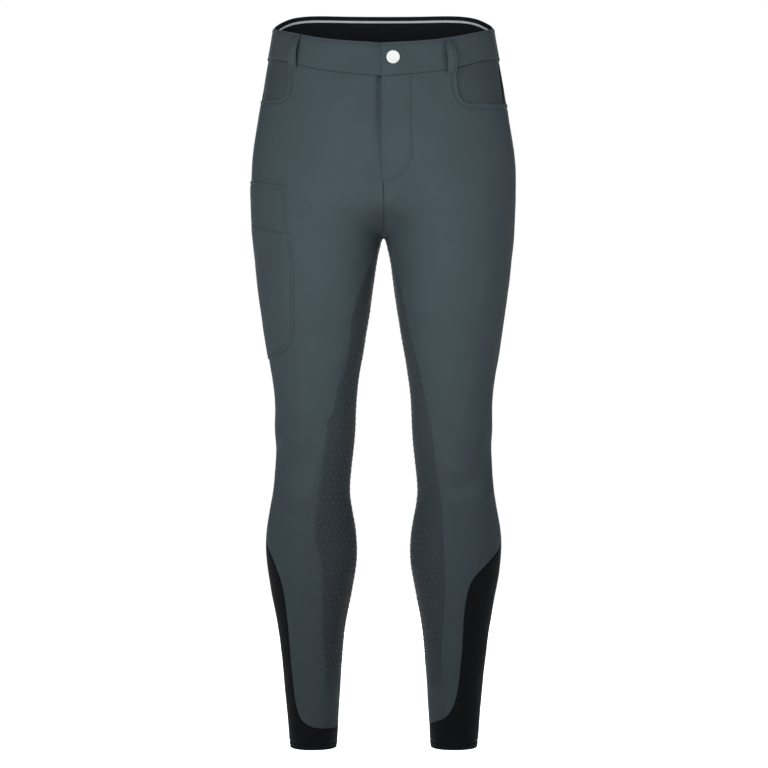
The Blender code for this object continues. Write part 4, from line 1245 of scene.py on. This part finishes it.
# lays the black sheet of painted shadow inside the side opening of the left pocket
def makePocketShadow():
    edge, bottom = (curve(pocketShadow[part], ahead) for part in ("rows", "bottom"))
    outline = edge[:-1] + bottom + upright(0.5, bottom[-1][1], edge[0][1])
    lift = pocketShadow["over"] - cloth["wall"] - handPocket["facingSink"]
    return sewCloth("pocketShadowLeft", left, outline, finish["blackKnit"], wall=pocketShadow["wall"],
                    lift=lift, shape=facingLevel(left), roll=pocketShadow["roll"],
                    restsOn=["pocketFacingLeft"])


for side, hand in hands:
    pieces["front" + hand] = makeFront(side, hand)
    pieces["back" + hand] = makeBack(side, hand)
    pieces["grip" + hand] = makeGrip(side, hand)
    pieces["cuff" + hand] = makeCuff(side, hand)
    pieces["pocketFacing" + hand] = makeFacing(side, hand)
    print("leg cut and sewn:", hand.lower())
# the black sheet of painted shadow in the left pocket's side opening
pieces["pocketShadowLeft"] = makePocketShadow()


def makeBand(side, hand):
    past = waistband["overPastMiddle"] if side == left else waistband["underPastMiddle"]
    first = -float(fromMiddle(past, seamLine(0)))
    ends = [upright(share, float(seamLine(abs(share))), float(topLine(abs(share))))
            for share in (first, 1.0)]
    outline = waistRow(seamLine, first, 1.0) + ends[1]
    outline += waistRow(topLine, first, 1.0)[::-1] + ends[0][::-1]
    stitched = [flatten(waistRow(topLine, 0.0, waistband["stitchEnd"])) - (0, waistband["stitchUnderTop"])]
    shape = noShape if side == left else lapSink(waistband["wall"] + cloth["layerGap"])
    return sewCloth("waistband" + hand, side, outline, finish["stretchCloth"],
                    wall=waistband["wall"], lift=waistband["lift"], shape=shape, stitched=stitched,
                    nodes=["waistband_" + hand.lower()], restsOn=["front" + hand, "back" + hand])


for side, hand in hands:
    pieces["waistband" + hand] = makeBand(side, hand)

# Lining of the band's back half, with a silver tape along its top.
lining = {
    "share": 0.45,
    "wall": 0.0010,
    "clear": 0.0003,
    "aboveSeam": 0.002,
    "tapeShare": 0.47,
    "tapeBelow": 0.0060,
    "tapeWidth": 0.0030,
    "tapeWall": 0.0004,
    "tapeProud": 0.0001,
    "tapeRoll": 0.0001,
}


def makeLining():
    ends = lining["share"], 2 - lining["share"]
    bottom = [(share, height + lining["aboveSeam"]) for share, height in waistRow(seamLine, *ends)]
    outline = bottom + waistRow(topLine, *ends)[::-1]
    return sewCloth("waistbandLining", left, outline, finish["liningCloth"], wall=lining["wall"],
                    lift=waistband["lift"] - waistband["wall"] - lining["clear"],
                    nodes=["waistband_lining"],
                    restsOn=["waistbandLeft", "waistbandRight"])


def makeTape():
    ends = lining["tapeShare"], 2 - lining["tapeShare"]
    top = [(share, height - lining["tapeBelow"]) for share, height in waistRow(topLine, *ends)]
    outline = [(share, height - lining["tapeWidth"]) for share, height in top] + top[::-1]
    depth = waistband["lift"] - waistband["wall"] - lining["clear"] - lining["wall"]
    tape = sewCloth("liningTape", left, outline, finish["silverTape"], wall=lining["tapeWall"],
                    lift=depth - lining["tapeProud"], roll=lining["tapeRoll"])
    return tape["object"]


pieces["waistbandLining"] = makeLining()
pieces["waistbandLining"]["with"].append(makeTape())
print("waistband sewn and lined")

# Phone pocket on the right thigh, with its edges measured ahead of the side seam.
phonePocket = {
    "top": ((0.0000, -0.2100), (0.0430, -0.2130), (0.1220, -0.2235)),
    "mouth": ((0.0000, -0.2670), (0.0400, -0.2742), (0.1195, -0.2900)),
    "bottom": ((0.1080, -0.3510), (0.0960, -0.4040), (0.0890, -0.4250), (0.0760, -0.4420),
               (0.0540, -0.4520), (0.0310, -0.4560), (0.0000, -0.4570)),
    "wall": 0.0012,
    "stitchIn": 0.0046,
    "roll": 0.0011,
    "clear": 0.0003,
}


def makePhonePocket():
    top, mouth = curve(phonePocket["top"], ahead), curve(phonePocket["mouth"], ahead)
    upper = curve([phonePocket["top"][-1], phonePocket["mouth"][-1]], ahead)
    lower = curve([phonePocket["mouth"][-1], *phonePocket["bottom"]], ahead)
    bandEdge = top + upper[1:]
    band = bandEdge + mouth[:-1][::-1] + upright(0.5, mouth[0][1], top[0][1])
    pouch = mouth + lower[1:] + upright(0.5, lower[-1][1], mouth[0][1])
    for name, outline, sewnEdge, node in (
            ("phonePocketTop", band, bandEdge, "phone_pocket_top"),
            ("phonePocketPouch", pouch, lower, "phone_pocket_pouch")):
        pieces[name] = sewCloth(name, right, outline, finish["stretchCloth"],
                                wall=phonePocket["wall"], lift=phonePocket["wall"] + phonePocket["clear"],
                                roll=phonePocket["roll"],
                                stitched=[offsetLine(flatten(sewnEdge), phonePocket["stitchIn"])],
                                nodes=[node], restsOn=["frontRight"])


makePhonePocket()
print("phone pocket sewn on")

# Belt loops: folded straps over the band, tacked down at both ends.
beltLoops = {
    "rows": (
        # name, node, side, share, top, bottom, how far it stands off
        ("beltLoopFrontLeft", "belt_loop_front_left", left, 0.2030, -0.0285, -0.0745, 0.0056),
        ("beltLoopFrontRight", "belt_loop_front_right", right, 0.2830, -0.0200, -0.0655, 0.0056),
        ("beltLoopSideLeft", "belt_loop_side_left", left, 0.5300, 0.0010, -0.0440, 0.0003),
        ("beltLoopSideRight", "belt_loop_side_right", right, 0.5300, 0.0010, -0.0440, 0.0003),
        ("beltLoopBack", "belt_loop_back", left, 1.0000, 0.0270, -0.0180, 0.0028),
    ),
    "width": 0.0132,
    "edgeStep": 0.0022,
    "stitchIn": 0.0024,
    "stitchClear": 0.002,
    "stitchStep": 0.004,
    "tackIn": 0.0032,
    "tackShare": 0.78,
    "tackTall": 0.0022,
    "tackStitches": 17,
}


def makeLoop(name, node, side, share, top, bottom, standOff):
    half = front if share < 0.5 else back
    reachShare = beltLoops["width"] / 4 / float(halfLength(half, (top + bottom) / 2))
    heights = evenly(bottom, top, beltLoops["edgeStep"])
    width = evenly(share + reachShare, share - reachShare, reachShare / 3)
    outline = [(share + reachShare, height) for height in heights]
    outline += [(place, top) for place in width[1:-1]]
    outline += [(share - reachShare, height) for height in heights[::-1]]
    outline += [(place, bottom) for place in width[-2:0:-1]]

    def arch(across, height):
        along = np.clip((height - bottom) / (top - bottom), 0, 1)
        return standOff * np.sin(math.pi * along)

    scale = 1 - 2 * beltLoops["stitchIn"] / beltLoops["width"]
    clear = beltLoops["stitchClear"]
    stitched = [flatten([(share + way * reachShare * scale, height)
                         for height in evenly(bottom + clear, top - clear, beltLoops["stitchStep"])])
                for way in (-1, 1)]
    loop = sewCloth(name, side, outline, finish["stretchCloth"], shape=arch,
                    lift=waistband["lift"] + cloth["layerGap"] + cloth["wall"], stitched=stitched,
                    nodes=[node], restsOn=["waistbandLeft" if side == left else "waistbandRight"])
    for height in (bottom + beltLoops["tackIn"], top - beltLoops["tackIn"]):
        middle = flatten([(share, height)])[0]
        barTack("waist", loop, middle, beltLoops["width"] * beltLoops["tackShare"],
                beltLoops["tackTall"], beltLoops["tackStitches"])
    sewAll("waist", loop)
    return loop


for row in beltLoops["rows"]:
    pieces[row[0]] = makeLoop(*row)
print("belt loops tacked on")

# Waist button: a turned disc with a soft rim and a shallow dish.
button = {
    "share": 0.028,
    "height": -0.0540,
    "profile": (
        # radius, height above the band
        (0.0000, 0.00245), (0.0022, 0.00246), (0.0042, 0.00252), (0.0058, 0.00268),
        (0.0068, 0.00290), (0.0076, 0.00300), (0.0083, 0.00288), (0.0088, 0.00250),
        (0.0090, 0.00195), (0.0090, 0.00105), (0.0087, 0.00050), (0.0080, 0.00018),
        (0.0060, 0.00010), (0.0000, 0.00010),
    ),
    "segments": 56,
    "clear": 0.0003,
}


def makeButton():
    foot, out = onForm(left, [button["share"]], [button["height"]], False)
    foot = foot[0] + out[0] * (waistband["lift"] + button["clear"])
    count = button["segments"]
    face, *rows, underside = button["profile"]
    points = [foot + out[0] * face[1], foot + out[0] * underside[1]]
    points += [foot + spoke * radius + out[0] * height for radius, height in rows
               for spoke in spokesRound(out, count)[0]]
    last = 2 + (len(rows) - 1) * count
    faces = []
    for k in range(count):
        after = (k + 1) % count
        faces.append((0, 2 + after, 2 + k))
        faces.append((1, last + k, last + after))
        for row in range(len(rows) - 1):
            base = 2 + row * count
            faces.append((base + k, base + after, base + count + after, base + count + k))
    made = meshObject("waistButton", np.array(points), faces)
    made.data.materials.append(finish["buttonPlastic"])
    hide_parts("waist_button")


makeButton()
print("button sewn on")


def printDots(side, hand):
    # rows of silicone dots over the grip, clear of its seams
    piece = pieces["grip" + hand]
    outline = piece["outline"]
    spots = staggered(outline.min(0), outline.max(0), grip["dotSpacing"])
    spots = spots[insideOutline(spots, outline)]
    spots = spots[lineDistance(spots, outline, closed=True) > grip["dotMargin"]]
    spots = spots[spots[:, 1] > grip["dotsEnd"]]
    share, height = unflatten(spots, True)
    centres, normals = clothPoints(piece, share, height, np.zeros(len(spots)))
    sides = grip["dotSides"]
    spokes = spokesRound(normals, sides)
    rows = [centres[:, None] + spokes * grip["dotRadius"] * size + normals[:, None] * grip["dotHeight"] * rise
            for size, rise in grip["dotRows"]]
    tip = (centres + normals * grip["dotHeight"])[:, None]
    points = np.concatenate([*rows, tip], 1)
    ring = np.arange(sides)
    quads = np.column_stack([ring, (ring + 1) % sides, sides + (ring + 1) % sides, sides + ring])
    tips = np.column_stack([sides + ring, sides + (ring + 1) % sides, np.full(sides, 2 * sides)])
    shift = (np.arange(len(points)) * (2 * sides + 1))[:, None, None]
    faces = (quads + shift).reshape(-1, 4).tolist() + (tips + shift).reshape(-1, 3).tolist()
    made = meshObject("gripDots" + hand, points.reshape(-1, 3), faces)
    made.data.materials.append(finish["siliconeDots"])
    piece["with"].append(made)
    print("grip dots printed:", len(spots))


for side, hand in hands:
    printDots(side, hand)
    sewAll("fronts", pieces["front" + hand])
    sewAll("cuffs", pieces["cuff" + hand])
    sewAll("waist", pieces["waistband" + hand])
for name in ("phonePocketTop", "phonePocketPouch"):
    sewAll("phone", pieces[name])
for group, colour, slot, carriers in (
        ("fronts", "shadedThread", "stretch_cloth", ["frontLeft", "frontRight"]),
        ("waist", "shadedThread", "stretch_cloth", ["waistbandLeft", "waistbandRight"]),
        ("phone", "shadedThread", "stretch_cloth", ["phonePocketTop", "phonePocketPouch"]),
        ("cuffs", "blackThread", "black_stretch", ["cuffLeft", "cuffRight"])):
    made = buildStitches(group, group + "Stitches", finish[colour])
    for carrier in carriers:
        pieces[carrier]["with"].append(made)
print("stitches laid:", sum(len(row) for rows in sewn.values() for row in rows))

# Studio: a white floor under the hems, white all round, and soft lamps in front, beside and behind.
studio = {
    "floor": -1.060,
    "floorSize": 30.0,
    "floorColour": (0.93, 0.93, 0.93),
    "floorVary": 0.985,
    "floorGrain": 3.0,
    "floorRoughness": 0.9,
    "floorSpecular": 0.1,
    "glow": 1.0,
    "camera": (0.0005, -3.5000, -0.4906),
    "lens": 118.87,
    "lamps": (
        # name, place, aimed at height, width, height, spread in degrees, watts
        ("keyLeft", (-1.00, -1.50, -0.19), -0.30, 0.8, 0.8, 180, 13.5),
        ("keyRight", (1.13, -0.64, 0.13), -0.30, 0.8, 0.8, 180, 6.6),
        ("fill", (0.0, -0.66, -0.19), -0.30, 0.8, 0.8, 180, 2.2),
        ("sideLeft", (-1.20, -0.45, 0.15), -0.20, 0.6, 0.8, 180, 2.7),
        ("lowFill", (0.0, -0.70, -1.00), -0.27, 0.2, 0.2, 45, 0.105),
        ("rearLeft", (-0.45, 2.30, 0.30), -0.30, 1.0, 1.4, 180, 16.0),
        ("rearRight", (0.45, 2.30, 0.30), -0.30, 1.0, 1.4, 180, 9.0),
        ("rear", (0.0, 3.00, 0.10), -0.40, 1.4, 1.4, 180, 30.0),
    ),
}


def backdropMaterial():
    made, tree, shader, add = nodeMaterial("paleFloor")
    place = add("ShaderNodeTexCoord").outputs["Object"]
    mottle = add("ShaderNodeTexNoise", {"Vector": place, "Scale": studio["floorGrain"],
                                        "Detail": 3.0}).outputs[0]
    dark = [channel * studio["floorVary"] for channel in studio["floorColour"]]
    colour = add("ShaderNodeMix", {0: mottle, 6: (*dark, 1), 7: (*studio["floorColour"], 1)},
                 data_type="RGBA").outputs[2]
    tree.links.new(colour, shader.inputs["Base Color"])
    shader.inputs["Roughness"].default_value = studio["floorRoughness"]
    shader.inputs["Specular IOR Level"].default_value = studio["floorSpecular"]
    shader.inputs["Emission Color"].default_value = (1, 1, 1, 1)
    shader.inputs["Emission Strength"].default_value = studio["glow"]
    return made


def makeStudio():
    half = studio["floorSize"] / 2
    mesh = bpy.data.meshes.new("studioFloor")
    mesh.from_pydata([(-half, -half, studio["floor"]), (half, -half, studio["floor"]),
                      (half, half, studio["floor"]), (-half, half, studio["floor"])], [], [(0, 1, 2, 3)])
    floor = bpy.data.objects.new("studioFloor", mesh)
    floor.data.materials.append(backdropMaterial())
    bpy.context.scene.collection.objects.link(floor)
    floor.visible_diffuse = False
    for name, place, aim, width, tall, opening, watts in studio["lamps"]:
        lamp = bpy.data.lights.new(name, "AREA")
        lamp.shape, lamp.size, lamp.size_y, lamp.energy = "RECTANGLE", width, tall, watts
        lamp.spread = math.radians(opening)
        holder = bpy.data.objects.new(name, lamp)
        holder.location = place
        holder.visible_camera = False
        holder.rotation_euler = (Vector((0, 0, aim)) - Vector(place)).to_track_quat("-Z", "Y").to_euler()
        bpy.context.scene.collection.objects.link(holder)
    world = bpy.data.worlds.new("whiteRoom")
    world.use_nodes = True
    world.node_tree.nodes["Background"].inputs["Color"].default_value = (1, 1, 1, 1)
    world.node_tree.nodes["Background"].inputs["Strength"].default_value = studio["glow"]
    world.cycles_visibility.diffuse = False
    world.cycles_visibility.glossy = False
    bpy.context.scene.world = world
    camera = bpy.data.cameras.new("productCamera")
    camera.lens = studio["lens"]
    holder = bpy.data.objects.new("productCamera", camera)
    holder.location = studio["camera"]
    holder.rotation_euler = (math.pi / 2, 0, 0)
    bpy.context.scene.collection.objects.link(holder)
    bpy.context.scene.camera = holder
    bpy.context.scene.view_settings.view_transform = "Standard"


makeStudio()
print("studio lit")
